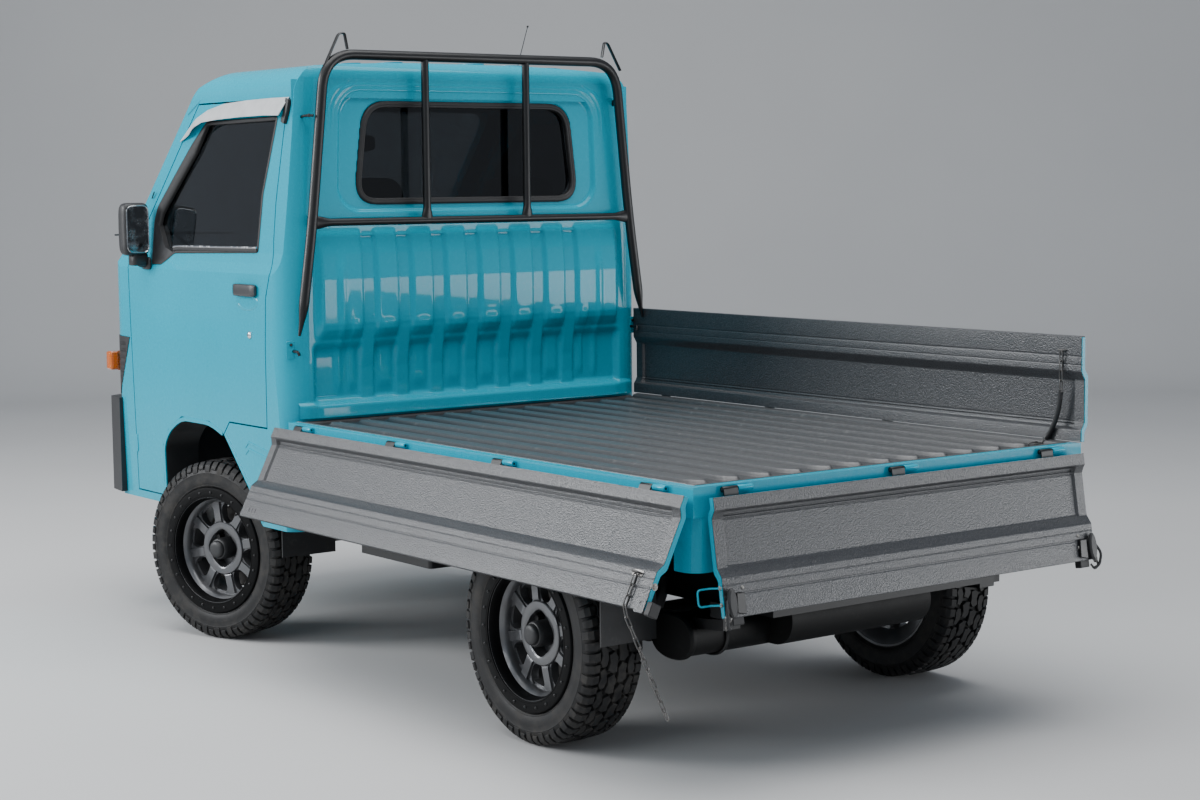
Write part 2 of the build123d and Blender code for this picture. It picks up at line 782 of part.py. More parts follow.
column_radius = 24
column_low = Vector(at(3080), -seat_half, 760)
column_tilt = 52
column_dir = Vector(-cos(radians(column_tilt)), 0, sin(radians(column_tilt)))
column_normal = Vector(sin(radians(column_tilt)), 0, cos(radians(column_tilt)))
column_length = 350
column_plane = Plane(origin=column_low, x_dir=(0, 1, 0), z_dir=column_dir)
with BuildPart() as steering_column:
    with BuildSketch(column_plane):
        Circle(column_radius)
    extrude(amount=column_length)
    with BuildSketch(column_plane):
        Circle(9)
    extrude(amount=column_length + 60)
pieces["steering_column"] = steering_column

with BuildPart() as dashboard:
    with BuildSketch(Plane.XZ.offset(-590)):
        with BuildLine():
            Polyline(
                (at(2980), 1010), (at(2960), 1060), (at(3010), 1150), (at(3150), 1160),
                (at(3195), 1080), (at(3195), 960), (at(3040), 900), close=True,
            )
        make_face()
    extrude(amount=1180)
    with BuildSketch(Plane.XZ.offset(seat_half - 40)):
        with BuildLine():
            rest = column_normal * (column_radius + seat_gap)
            low = column_low + column_dir * 140 + rest
            high = column_low + column_dir * 240 + rest
            Polyline(
                (at(3048), 908), (at(2975), 1020), (high.X, high.Z), (low.X, low.Z), close=True,
            )
        make_face()
    extrude(amount=80)
    add(cab_form(cab_wall + seat_gap), mode=Mode.INTERSECT)
pieces["dashboard"] = dashboard

wheel_plane = column_plane.offset(column_length + 12)
with BuildPart() as steering_wheel:
    with BuildSketch(wheel_plane):
        Circle(50)
    extrude(amount=46)
    with BuildSketch(wheel_plane.offset(8)):
        Circle(178)
        Circle(156, mode=Mode.SUBTRACT)
        with PolarLocations(100, 3, start_angle=90):
            Rectangle(130, 34)
    extrude(amount=20)
    with BuildSketch(wheel_plane):
        Circle(9.05)
    extrude(amount=49, mode=Mode.SUBTRACT)
pieces["steering_wheel"] = steering_wheel

# Front bumper, lamps, corner turn signals and vents
bumper_low = 410
bumper_height = 330
wing_at = overall_length - 170     # rear end of the bumper's wing
corner_at = overall_length - 73
nose_at = overall_length - 23
bumper_line = [(wing_at, 672), (wing_at, 702), (corner_at, 688), (nose_at, 600)]
inner_line = [(nose_at - 36, 480), (corner_at - 26, 620), (wing_at, 672)]
with BuildPart() as front_bumper:
    with BuildSketch(Plane.XY.offset(bumper_low)):
        with BuildLine():
            Polyline(*[(at(x), y) for x, y in bumper_line], (at(bumper_front_at - 6), 420))
            ThreePointArc(
                (at(bumper_front_at - 6), 420), (at(bumper_front_at), 0),
                (at(bumper_front_at - 6), -420),
            )
            Polyline(
                (at(bumper_front_at - 6), -420),
                *[(at(x), -y) for x, y in reversed(bumper_line)],
                *[(at(x), -y) for x, y in reversed(inner_line[:-1])],
                *[(at(x), y) for x, y in inner_line],
            )
        make_face()
    extrude(amount=bumper_height)
    add(cab_form(-seat_gap), mode=Mode.SUBTRACT)
pieces["front_bumper"] = front_bumper

# Guard frame behind the cab: one bent tube, a cross rail, two uprights, brackets and hooks
guard_at = 1914
guard_radius = 14
guard_bend = 84
guard_taper = 110
guard_rail_radius = 11
guard_rail_height = 1356
guard_top = 1868
guard_corners = [
    (-639, 1130), (-611, guard_rail_height), (-557, guard_top), (557, guard_top),
    (611, guard_rail_height), (639, 1130),
]


def bent_tube(corners, radius, bend):
    """Round tube in a plane across the truck: straight runs joined by tangent bends."""
    run_start = Vector(0, *corners[0])
    with BuildPart(mode=Mode.PRIVATE) as tube:
        for corner, after in zip(corners[1:], corners[2:] + [None]):
            corner = Vector(0, *corner)
            heading = (corner - run_start).normalized()
            cut = 0
            if after is not None:
                leaving = (Vector(0, *after) - corner).normalized()
                turn = heading.get_signed_angle(leaving, Vector(1, 0, 0))
                cut = bend * tan(radians(abs(turn)) / 2)
            with BuildSketch(Plane(origin=run_start, x_dir=(1, 0, 0), z_dir=heading)):
                Circle(radius)
            extrude(amount=(corner - run_start).length - cut)
            if after is not None:
                sign = 1 if turn > 0 else -1
                bend_start = corner - heading * cut
                middle = bend_start + Vector(sign, 0, 0).cross(heading) * bend
                with BuildSketch(Plane(origin=bend_start, x_dir=(1, 0, 0), z_dir=heading)):
                    Circle(radius)
                revolve(axis=Axis(middle, (sign, 0, 0)), revolution_arc=abs(turn))
                run_start = corner + leaving * cut
    return tube.part


guard_hoop = Pos(at(guard_at), 0, 0) * bent_tube(guard_corners, guard_radius, guard_bend)
with BuildPart() as guard_rail:
    with BuildSketch(Plane.XZ.offset(-600)):
        with Locations((at(guard_at), guard_rail_height)):
            Circle(guard_rail_radius)
    extrude(amount=1200)
    add(
        Pos(at(guard_at), 0, 0) * bent_tube(guard_corners, guard_radius + seat_gap, guard_bend),
        mode=Mode.SUBTRACT,
    )
pieces["guard_rail"] = guard_rail

with BuildPart() as guard_bars:
    for place in (-195, 195):
        with BuildSketch(Plane.XY.offset(guard_rail_height)):
            with Locations((at(guard_at), place)):
                Circle(guard_rail_radius)
        extrude(amount=guard_top - guard_rail_height)
    for height, radius in ((guard_rail_height, guard_rail_radius), (guard_top, guard_radius)):
        with BuildSketch(Plane.XZ.offset(-600)):
            with Locations((at(guard_at), height)):
                Circle(radius + seat_gap)
        extrude(amount=1200, mode=Mode.SUBTRACT)
pieces["guard_bars"] = guard_bars

with BuildPart() as guard_frame:
    add(guard_hoop)
    for side in (1, -1):
        foot = Vector(0, side * (guard_corners[1][0] - guard_corners[0][0]),
                      guard_corners[0][1] - guard_corners[1][1]).normalized()
        foot_start = (at(guard_at), -side * guard_corners[0][0], guard_corners[0][1])
        with BuildSketch(Plane(origin=foot_start, x_dir=(1, 0, 0), z_dir=foot)):
            Circle(guard_radius)
        extrude(amount=guard_taper, taper=4)
    for side in (1, -1):
        for height, reach in ((1712, 574), (1046, 632)):
            with BuildSketch(Plane.XY.offset(height)):
                with Locations((at((guard_at + 8 + cab_back_at) / 2), side * reach)):
                    Rectangle(cab_back_at - guard_at - 8, 26)
            extrude(amount=6)
        with BuildSketch(Plane.XY.offset(guard_top)):
            with Locations((at(guard_at), side * 496)):
                Circle(7)
        extrude(amount=42)
pieces["guard_frame"] = guard_frame

# Wheels: name, distance along the truck, side, turned angle
wheel_table = [
    ("front_left", front_axle_at, 1, steer_rest),
    ("front_right", front_axle_at, -1, steer_rest),
    ("rear_left", rear_axle_at, 1, 0),
    ("rear_right", rear_axle_at, -1, 0),
]


def wheel_frame(distance, side, angle):
    """Plane at a wheel's middle: local y points outboard along its axle."""
    swing = wheel_track_half - steer_axis_half
    pivot = Vector(at(distance), side * steer_axis_half, tyre_radius)
    if angle:
        outboard = Vector(-side * sin(radians(angle)), side * cos(radians(angle)), 0)
        middle = pivot + outboard * swing
    else:
        outboard = Vector(0, side, 0)
        middle = pivot + outboard * swing
    return Plane(origin=middle, x_dir=outboard.cross(up), z_dir=up)


# Tyre section: radius and axial place, from the inner bead round to the outer bead
tyre_section = [
    (bead_radius, -78), (ring_radius, -78), (250, -tyre_width / 2), (280, -84),
    (tyre_radius, -tread_half_width), (tyre_radius, tread_half_width), (280, 84),
    (250, tyre_width / 2), (ring_radius, 78), (bead_radius, 78),
]
barrel_section = [
    (178, -80), (200, -80), (200, -78.4), (bead_radius - bead_clearance, -78.4),
    (bead_radius - bead_clearance, 78.4), (ring_radius, 78.4), (ring_radius, 90), (172, 90),
    (165, 56), (152, 42), (152, -20), (166, -58),
]
# Corners of a window between two spokes, radial place from the window's middle and width
window_corners = [
    (-30, -10), (-22, -17), (18, -31), (30, -20), (30, 20), (18, 31), (-22, 17), (-30, 10),
]
window_turn = 180 / spoke_count
# Slots between the tread's shoulder lugs, set off by half a pitch from side to side
lug_count = 20
lug_depth = 9
lug_gap = 15
lug_start = 40
lug_reach = 56
for wheel_name, distance, side, angle in wheel_table:
    plane = wheel_frame(distance, side, angle)
    face_plane = Plane(origin=plane.origin, x_dir=plane.x_dir, z_dir=plane.y_dir)
    axle = Axis(plane.origin, plane.y_dir)
    with BuildPart() as tyre:
        with BuildSketch(plane):
            with BuildLine():
                Polyline(*tyre_section, close=True)
            make_face()
        revolve(axis=axle)
        for turn, start, length in ((0, lug_start, lug_reach), (180 / lug_count, -lug_start, -lug_reach)):
            with BuildSketch(face_plane.offset(start)):
                with PolarLocations(tyre_radius, lug_count, start_angle=turn):
                    Rectangle(2 * lug_depth, lug_gap)
            extrude(amount=length, mode=Mode.SUBTRACT)
    pieces["tyre_" + wheel_name] = tyre
    with BuildPart() as rim:
        with BuildSketch(plane):
            with BuildLine():
                Polyline(*barrel_section, close=True)
            make_face()
        revolve(axis=axle)
        with BuildSketch(face_plane.offset(12)):
            Circle(170)
            with PolarLocations(120, spoke_count, start_angle=window_turn):
                Polygon(*window_corners, align=None, mode=Mode.SUBTRACT)
        extrude(amount=21)
        with BuildSketch(face_plane.offset(-40)):
            Circle(86)
        extrude(amount=82)
        with BuildSketch(face_plane.offset(5)):
            Circle(58)
            Circle(35, mode=Mode.SUBTRACT)
        extrude(amount=40, mode=Mode.SUBTRACT)
        with BuildSketch(face_plane.offset(0)):
            Circle(35)
        extrude(amount=62)
        with BuildSketch(face_plane.offset(62)):
            Circle(28.5)
        extrude(amount=15)
        with BuildSketch(face_plane.offset(-40)):
            Circle(stub_radius + stub_clearance)
        extrude(amount=90, mode=Mode.SUBTRACT)
    pieces["rim_" + wheel_name] = rim

# Knuckles: hub carrier, stub axle and strut on the steering axis
for side_name, side in (("left", 1), ("right", -1)):
    plane = wheel_frame(front_axle_at, side, steer_rest)
    face_plane = Plane(origin=plane.origin, x_dir=plane.x_dir, z_dir=plane.y_dir)
    back = -(wheel_track_half - steer_axis_half)
    with BuildPart() as knuckle:
        with BuildSketch(face_plane.offset(back)):
            Circle(34)
        extrude(amount=78)
        with BuildSketch(face_plane.offset(back + 78)):
            Circle(stub_radius)
        extrude(amount=90)
        with BuildSketch(face_plane.offset(back + 66)):
            Circle(125)
        extrude(amount=12)
        with BuildSketch(Plane.XY.offset(200)):
            with Locations((at(front_axle_at), side * steer_axis_half)):
                Circle(24)
        extrude(amount=485)
    pieces["knuckle_" + side_name] = knuckle

# Chassis frame with cross members and bed bearers
bearer_places = [120, 500, 950, 1400, 1840]
bearer_width = 60
bearer_half = 640
with BuildPart() as chassis_frame:
    with BuildSketch(Plane.XY.offset(frame_bottom)):
        with Locations((at((frame_rear_at + frame_front_at) / 2), 0)):
            with GridLocations(0, 2 * frame_half, 1, 2):
                Rectangle(frame_front_at - frame_rear_at, frame_rail_width)
        for place in (frame_rear_at + 30, 500, 1100, 1700, 2120, frame_front_at - 30):
            with Locations((at(place), 0)):
                Rectangle(60, 2 * frame_half)
    extrude(amount=frame_rail_height)
    for place in bearer_places:
        with BuildSketch(Plane.XY.offset(floor_z - floor_sheet - 60)):
            with Locations((at(place), 0)):
                Rectangle(bearer_width, 2 * bearer_half)
        extrude(amount=60)
        with BuildSketch(Plane.XY.offset(frame_bottom)):
            with Locations((at(place), 0)):
                with GridLocations(0, 2 * frame_half, 1, 2):
                    Rectangle(bearer_width, frame_rail_width)
        extrude(amount=floor_z - floor_sheet - frame_bottom)
    # Cab mounts on the rails and hangers for the leaf springs
    for place, top in ((2080, seat_deck - pan_sheet), (2960, floor_pan)):
        with BuildSketch(Plane.XY.offset(frame_bottom)):
            with Locations((at(place), 0)):
                with GridLocations(0, 2 * frame_half, 1, 2):
                    Rectangle(60, frame_rail_width)
        extrude(amount=top - seat_gap - frame_bottom)
    with BuildSketch(Plane.XY.offset(frame_bottom + seat_gap)):
        for place in (rear_axle_at - spring_half_span + 25, rear_axle_at + spring_half_span - 25):
            with Locations((at(place), 0)):
                with GridLocations(0, frame_half + spring_y + spring_width / 2, 1, 2):
                    Rectangle(50, spring_y + spring_width / 2 - frame_half)
    extrude(amount=40)
pieces["chassis_frame"] = chassis_frame

# Engine: one plain block under the seats
engine_bottom = 345
with BuildPart() as engine:
    with BuildSketch(Plane.XY.offset(engine_bottom)):
        with Locations((at(2440), 0)):
            RectangleRounded(560, 420, 40)
    extrude(amount=315)
    with BuildSketch(Plane.YZ.offset(at(2150 + seat_gap))):
        with Locations((-120, 427), (120, 427)):
            Circle(26)
    extrude(amount=20)
pieces["engine"] = engine

# Rear axle with its differential and stub ends, and the propeller shaft
axle_tube = 34
with BuildPart() as rear_axle:
    with BuildSketch(Plane(origin=(at(rear_axle_at), 0, tyre_radius), z_dir=(0, 1, 0))):
        Circle(axle_tube)
    extrude(amount=wheel_track_half - 78, both=True)
    with BuildSketch(Plane(origin=(at(rear_axle_at), 0, tyre_radius), z_dir=(0, 1, 0))):
        Circle(stub_radius)
    extrude(amount=wheel_track_half + 48, both=True)
    with BuildSketch(Plane(origin=(at(rear_axle_at), 0, tyre_radius), z_dir=(0, 1, 0))):
        Circle(105)
    extrude(amount=70, both=True)
    with BuildSketch(Plane(origin=(at(rear_axle_at), 0, tyre_radius + 20), z_dir=(1, 0, 0))):
        Circle(26)
    extrude(amount=1500)
pieces["rear_axle"] = rear_axle

# Leaf springs on the axle tube, hung from the frame
spring_seat = tyre_radius + axle_tube
with BuildPart() as leaf_springs:
    for side in (1, -1):
        with BuildSketch(Plane.XZ.offset(-side * spring_y)):
            with BuildLine():
                near = at(rear_axle_at - spring_half_span)
                far = at(rear_axle_at + spring_half_span)
                middle = at(rear_axle_at)
                ThreePointArc(
                    (near, spring_seat + spring_rise), (middle, spring_seat),
                    (far, spring_seat + spring_rise),
                )
                Line((far, spring_seat + spring_rise), (far, spring_seat + spring_rise + spring_stack))
                ThreePointArc(
                    (far, spring_seat + spring_rise + spring_stack),
                    (middle, spring_seat + spring_stack),
                    (near, spring_seat + spring_rise + spring_stack),
                )
                Line((near, spring_seat + spring_rise + spring_stack), (near, spring_seat + spring_rise))
            make_face()
        extrude(amount=spring_width / 2, both=True)
pieces["leaf_springs"] = leaf_springs

# Front suspension: cross member and lower arms that end under the knuckles
arm_top = 199.5
with BuildPart() as front_suspension:
    with BuildSketch(Plane.YZ.offset(at(front_axle_at - 45))):
        with BuildLine():
            Polyline(
                (-375, frame_bottom), (-375, 300), (-484, arm_top), (-550, arm_top),
                (-550, arm_top - 16), (-470, arm_top - 16), (-340, 270), (340, 270),
                (470, arm_top - 16), (550, arm_top - 16), (550, arm_top), (484, arm_top),
                (375, 300), (375, frame_bottom),
                (325, frame_bottom), (325, 330), (-325, 330), (-325, frame_bottom), close=True,
            )
        make_face()
    extrude(amount=90)
pieces["front_suspension"] = front_suspension

# Fuel tank on the right and battery box on the left, beside the frame rails
frame_face = frame_half + frame_rail_width / 2
with BuildPart() as underbed_boxes:
    with BuildSketch(Plane.XY.offset(388)):
        with Locations((at(1475), -(frame_face + 132))):
            RectangleRounded(450, 264, 30)
    extrude(amount=225)
    with BuildSketch(Plane.XY.offset(366)):
        with Locations((at(1497), frame_face + 112)):
            RectangleRounded(390, 224, 14)
    extrude(amount=200)
pieces["underbed_boxes"] = underbed_boxes

# Exhaust: pipe under the frame and a silencer across the tail
with BuildPart() as exhaust:
    with BuildSketch(Plane.XZ.offset(-250)):
        with Locations((at(232), 345)):
            SlotOverall(190, 136)
    extrude(amount=500)
    with BuildSketch(Plane.YZ.offset(at(230))):
        with Locations((-230, 354)):
            Circle(21)
    extrude(amount=2160 - 230)
    with BuildSketch(Plane.XZ.offset(250)):
        with Locations((at(232), 345)):
            Circle(20)
    extrude(amount=70)
    with BuildSketch(Plane.YZ.offset(at(frame_rear_at + 60 + seat_gap))):
        with Locations((-180, 392), (180, 392)):
            Circle(9)
    extrude(amount=60)
pieces["exhaust"] = exhaust

# Mud flaps behind the wheels
flap_sheet = 5
front_flap_top = seat_deck - pan_sheet - seat_gap
rear_flap_top = floor_z - floor_sheet - seat_gap
flap_table = [
    (2104, [(444, 300), (636, 300), (636, front_flap_top), (444, front_flap_top)]),
    (326, [(545, 312), (722, 312), (722, 600), (654, 640), (654, rear_flap_top),
           (545, rear_flap_top)]),
]
with BuildPart() as mud_flaps:
    for place, outline in flap_table:
        for side in (1, -1):
            with BuildSketch(Plane.YZ.offset(at(place))):
                with BuildLine():
                    Polyline(*[(side * y, z) for y, z in outline], close=True)
                make_face()
            extrude(amount=flap_sheet)
pieces["mud_flaps"] = mud_flaps

# Tail lamps under the rear rail
with BuildPart() as tail_lamps:
    with BuildSketch(Plane.XY.offset(bed_top - rail_depth - 80)):
        with Locations((at(28), 0)):
            with GridLocations(0, 1020, 1, 2):
                RectangleRounded(40, 190, 8)
    extrude(amount=80)
pieces["tail_lamps"] = tail_lamps

# Whip aerial on the right windscreen pillar
aerial_low = Vector(at(2790), -676, 1560)
aerial_high = Vector(at(2497), -616, 2027)
aerial_dir = (aerial_high - aerial_low).normalized()
with BuildPart() as aerial:
    with BuildSketch(Plane(origin=aerial_low, z_dir=aerial_dir)):
        Circle(2.5)
    extrude(amount=(aerial_high - aerial_low).length)
    with BuildSketch(Plane(origin=aerial_low, z_dir=aerial_dir)):
        Circle(7)
    extrude(amount=70)
    with BuildSketch(Plane.XZ.offset(654)):
        with Locations((aerial_low.X - 6, aerial_low.Z + 14)):
            Circle(8)
    extrude(amount=25)
pieces["aerial"] = aerial

for label, block in pieces.items():
    block.part.label = label
    export_step(block.part, f"parts/{label}.step")
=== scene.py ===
"""Drop-side kei truck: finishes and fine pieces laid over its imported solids, in metres."""

import json
from math import cos, pi, radians, sin

import bmesh
import bpy
import numpy as np
from mathutils import Matrix, Vector


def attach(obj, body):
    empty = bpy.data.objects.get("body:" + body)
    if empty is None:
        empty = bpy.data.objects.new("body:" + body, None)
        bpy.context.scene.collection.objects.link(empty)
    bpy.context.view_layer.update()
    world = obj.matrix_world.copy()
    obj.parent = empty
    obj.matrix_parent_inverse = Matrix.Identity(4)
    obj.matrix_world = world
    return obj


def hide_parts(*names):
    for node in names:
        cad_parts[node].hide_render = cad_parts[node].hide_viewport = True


bl_info = {
    "name": "Drop-side kei truck",
    "version": (1, 0, 0),
    "blender": (4, 5, 0),
    "location": "3D View > Sidebar > Kei truck",
    "description": "Wheels, gates, cab trim and finishes of a small drop-side truck",
    "category": "Add Mesh",
}

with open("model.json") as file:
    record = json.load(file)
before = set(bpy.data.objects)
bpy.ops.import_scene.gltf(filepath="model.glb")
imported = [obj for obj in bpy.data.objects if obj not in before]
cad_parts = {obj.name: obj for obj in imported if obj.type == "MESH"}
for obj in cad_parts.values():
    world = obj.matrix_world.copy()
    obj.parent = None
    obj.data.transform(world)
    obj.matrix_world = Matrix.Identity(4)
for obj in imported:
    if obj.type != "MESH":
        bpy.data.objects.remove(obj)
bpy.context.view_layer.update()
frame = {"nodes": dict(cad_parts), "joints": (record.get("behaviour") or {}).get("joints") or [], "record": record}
nodes = frame["nodes"]
joints = {joint["name"]: joint for joint in frame["joints"]}

# Place along X of the bed's rear face: the side gates' pins stand 978 mm forward of it
BED_REAR = joints["gate_swing_left"]["pos_m"][0] - 0.978
WHEELS = ("front_left", "front_right", "rear_left", "rear_right")


def at(distance):
    """Place along X of a distance in millimetres forward of the bed's rear face."""
    return BED_REAR + distance / 1000


# Settings
class TruckPaint(bpy.types.PropertyGroup):
    """Colours of the truck."""

    body: bpy.props.FloatVectorProperty(
        name="Body paint", description="Colour of cab, rails and gates' outer skins",
        subtype="COLOR", size=3, min=0, max=1, default=(0.0, 0.34, 0.47))
    liner: bpy.props.FloatVectorProperty(
        name="Bed coating", description="Colour of the sprayed coating in the bed",
        subtype="COLOR", size=3, min=0, max=1, default=(0.027, 0.0295, 0.0345))
    tint: bpy.props.FloatVectorProperty(
        name="Window tint", description="Colour of the dark windows",
        subtype="COLOR", size=3, min=0, max=1, default=(0.03, 0.034, 0.04))
    alloy: bpy.props.FloatVectorProperty(
        name="Rims", description="Colour of the rims' spokes",
        subtype="COLOR", size=3, min=0, max=1, default=(0.115, 0.118, 0.125))


class TruckSizes(bpy.types.PropertyGroup):
    """Sizes of the fine pieces."""

    lugs: bpy.props.IntProperty(
        name="Tread pitches", description="Rows of blocks round a tyre", default=30, min=16, max=48)
    lug_depth: bpy.props.FloatProperty(
        name="Tread depth", description="Height of the tread blocks", default=0.011,
        min=0.004, max=0.02, unit="LENGTH")
    ring_bolts: bpy.props.IntProperty(
        name="Ring bolts", description="Bolts round a rim's outer ring", default=24, min=8, max=40)
    spokes: bpy.props.IntProperty(
        name="Spokes", description="Spokes of a rim", default=8, min=5, max=12)
    chain_wire: bpy.props.FloatProperty(
        name="Chain wire", description="Thickness of the gate chains' wire", default=0.0036,
        min=0.002, max=0.006, unit="LENGTH")
    studio_power: bpy.props.FloatProperty(
        name="Studio light", description="Strength of the soft lamp over the truck", default=900,
        min=0, max=5000, unit="POWER")


def paint():
    return bpy.context.scene.truck_paint


def sizes():
    return bpy.context.scene.truck_sizes


# Surfaces
def rows_to_faces(points, ring=False, tube=False):
    """Faces between neighbouring points of a rows by columns array; ring closes the columns,
    tube closes the rows."""
    rows, columns = points.shape[:2]
    index = np.arange(rows * columns).reshape(rows, columns)
    if ring:
        index = np.concatenate([index, index[:, :1]], 1)
    if tube:
        index = np.concatenate([index, index[:1]], 0)
    quads = np.stack([index[:-1, :-1], index[1:, :-1], index[1:, 1:], index[:-1, 1:]], -1)
    return points.reshape(-1, 3), quads.reshape(-1, 4).tolist()


def capped(points):
    """A tube of closed rows with its first and last rows filled."""
    count, columns = points.shape[:2]
    corners, faces = rows_to_faces(points, ring=True)
    faces.append(list(range(columns)))
    faces.append(list(range((count - 1) * columns, count * columns)))
    return corners, faces


def joined(shapes):
    """Several shapes as one list of corners and faces."""
    corners, faces, start = [], [], 0
    for points, polygons in shapes:
        corners.append(np.asarray(points, float).reshape(-1, 3))
        faces += [[index + start for index in polygon] for polygon in polygons]
        start += len(corners[-1])
    return np.concatenate(corners), faces


def moved(shape, matrix):
    """The shape with a 4 by 4 matrix applied to all its corners at once."""
    points = np.asarray(shape[0], float)
    matrix = np.asarray(matrix, float)
    return points @ matrix[:3, :3].T + matrix[:3, 3], shape[1]


def shifted(shape, place):
    """The shape moved by a vector."""
    return moved(shape, Matrix.Translation(place))


def spun(shape, count, start=0.0):
    """Copies of a shape turned round Z in equal steps."""
    return joined([moved(shape, Matrix.Rotation(start + 2 * pi * k / count, 4, "Z"))
                   for k in range(count)])


def frame_matrix(origin, x_axis, z_axis):
    """Matrix that carries local x and z onto two directions and the origin onto a point."""
    z = Vector(z_axis).normalized()
    x = Vector(x_axis)
    x = (x - z * x.dot(z)).normalized()
    y = z.cross(x)
    return Matrix(((x.x, y.x, z.x, origin[0]), (x.y, y.y, z.y, origin[1]),
                   (x.z, y.z, z.z, origin[2]), (0, 0, 0, 1)))


def placed(shape, origin, x_axis, z_axis):
    """The shape with its x and z carried onto two directions and its origin onto a point."""
    return moved(shape, frame_matrix(origin, x_axis, z_axis))


def circle(count):
    """Angles of one full turn in equal steps."""
    return np.linspace(0, 2 * pi, count, endpoint=False)


def polar(radius, angle, height):
    """Points from radius r, angle t and height h: x = r cos t, y = r sin t, z = h."""
    return np.stack(np.broadcast_arrays(radius * np.cos(angle), radius * np.sin(angle),
                                        height), -1)


def turned(profile, steps=64):
    """Profile of radius and height carried round Z."""
    radius, height = np.asarray(profile, float).T[:, None]
    return rows_to_faces(polar(radius, circle(steps)[:, None], height), ring=True, tube=True)


def rounded_outline(width, height, radius, steps=5):
    """Corners of a rectangle with quarter circles of the radius at its four corners."""
    angle = np.linspace(0, pi / 2, steps)
    out = []
    for k, (sx, sy) in enumerate(((1, 1), (-1, 1), (-1, -1), (1, -1))):
        turn = angle + k * pi / 2
        out.append(np.stack([sx * (width / 2 - radius) + radius * np.cos(turn),
                             sy * (height / 2 - radius) + radius * np.sin(turn)], -1))
    return np.concatenate(out)


def inset(outline, amount):
    """Outline moved inward: each corner goes along the mean of its two sides' normals, by the
    amount over the cosine of half the turn there."""
    outline = np.asarray(outline, float)
    ahead = np.roll(outline, -1, 0) - outline
    ahead /= np.linalg.norm(ahead, axis=1)[:, None]
    normal = np.stack([-ahead[:, 1], ahead[:, 0]], -1)
    before = np.roll(normal, 1, 0)
    mean = normal + before
    mean /= np.maximum((mean * normal).sum(1), 0.3)[:, None]
    return outline + mean * amount


def signed_area(outline):
    """Twice the area within an outline, minus where its corners run clockwise."""
    x, y = outline.T
    return (x * np.roll(y, -1) - y * np.roll(x, -1)).sum()


def raised(outline, height):
    """Outline in x and y as points at a height."""
    return np.column_stack([outline, np.full(len(outline), height)])


def plate(outline, low, high, bevel=0.0):
    """Closed outline in x and y carried along z from low to high, its ends drawn in by a bevel."""
    outline = np.asarray(outline, float)
    if signed_area(outline) < 0:
        outline = outline[::-1]
    steps = [(low, bevel), (low + bevel, 0), (high - bevel, 0), (high, bevel)]
    if not bevel:
        steps = [(low, 0), (high, 0)]
    return capped(np.array([raised(inset(outline, amount) if amount else outline, height)
                            for height, amount in steps]))


def block(size, radius=0.003, bevel=0.002):
    """Rounded block about the origin: a rounded rectangle carried along z with cut edges."""
    x, y, z = size
    return plate(rounded_outline(x, y, min(radius, x / 2.01, y / 2.01), 4), -z / 2, z / 2, bevel)


def wire(path, radius, sides=10, closed=False, flat=1.0):
    """Round section carried along a path, each ring square to the path's mean direction."""
    path = np.asarray(path, float)
    if closed:
        ahead = np.roll(path, -1, 0) - np.roll(path, 1, 0)
    else:
        ahead = np.gradient(path, axis=0)
    ahead /= np.linalg.norm(ahead, axis=1)[:, None]
    normal = np.zeros_like(ahead)
    guess = np.array([0.0, 0.0, 1.0]) if abs(ahead[0, 2]) < 0.8 else np.array([1.0, 0.0, 0.0])
    for k, direction in enumerate(ahead):
        guess = guess - direction * (guess @ direction)
        guess = guess / np.linalg.norm(guess)
        normal[k] = guess
    side = np.cross(ahead, normal)
    angle = circle(sides)
    radius = np.broadcast_to(np.asarray(radius, float), (len(path),))
    ring = (np.cos(angle)[None, :, None] * normal[:, None] * flat
            + np.sin(angle)[None, :, None] * side[:, None])
    points = path[:, None] + ring * radius[:, None, None]
    return rows_to_faces(points, ring=True, tube=True) if closed else capped(points)


def curve(start, corner, end, t):
    """Quadratic curve: (1 - t) squared start plus 2 t (1 - t) corner plus t squared end."""
    return (1 - t) ** 2 * start + 2 * t * (1 - t) * corner + t ** 2 * end


def rounded(before, corner, after, cut, steps):
    """Curve in place of a corner, from one side to the other; its ends are the cut from the
    corner, or 45 % of a side where that is less."""
    back, ahead = before - corner, after - corner
    near = min(cut, np.linalg.norm(back) * 0.45, np.linalg.norm(ahead) * 0.45)
    return curve(corner + back / np.linalg.norm(back) * near, corner,
                 corner + ahead / np.linalg.norm(ahead) * near,
                 np.linspace(0, 1, steps)[:, None])


def bent(corners, radius, steps=6):
    """Path through corners, each but the ends rounded."""
    corners = np.asarray(corners, float)
    between = [rounded(*three, radius, steps)
               for three in zip(corners[:-2], corners[1:-1], corners[2:])]
    return np.concatenate([corners[:1], *between, corners[-1:]])


def softened(outline, cut, steps=4):
    """Closed outline with each corner rounded, by one cut or by a cut for each."""
    outline = np.asarray(outline, float)
    cuts = np.broadcast_to(np.asarray(cut, float), (len(outline),))
    return np.concatenate([rounded(*four, steps) for four in zip(
        np.roll(outline, 1, 0), outline, np.roll(outline, -1, 0), cuts)])


def normals(path):
    """Unit normals to the left of an open path in a plane."""
    ahead = np.gradient(path, axis=0)
    ahead /= np.linalg.norm(ahead, axis=1)[:, None]
    return np.stack([-ahead[:, 1], ahead[:, 0]], -1)


def ribbon(path, thickness):
    """Closed section of a thin strip: an open path and the same path moved along its normals."""
    path = np.asarray(path, float)
    return np.concatenate([path, (path + normals(path) * thickness)[::-1]])


def bolt(radius, height):
    """Hexagon head with a domed top, standing on z = 0."""
    return capped(np.array([polar(radius * scale, circle(6), height * level)
                            for scale, level in ((1, 0), (1, 0.75), (0.82, 1.0))]))


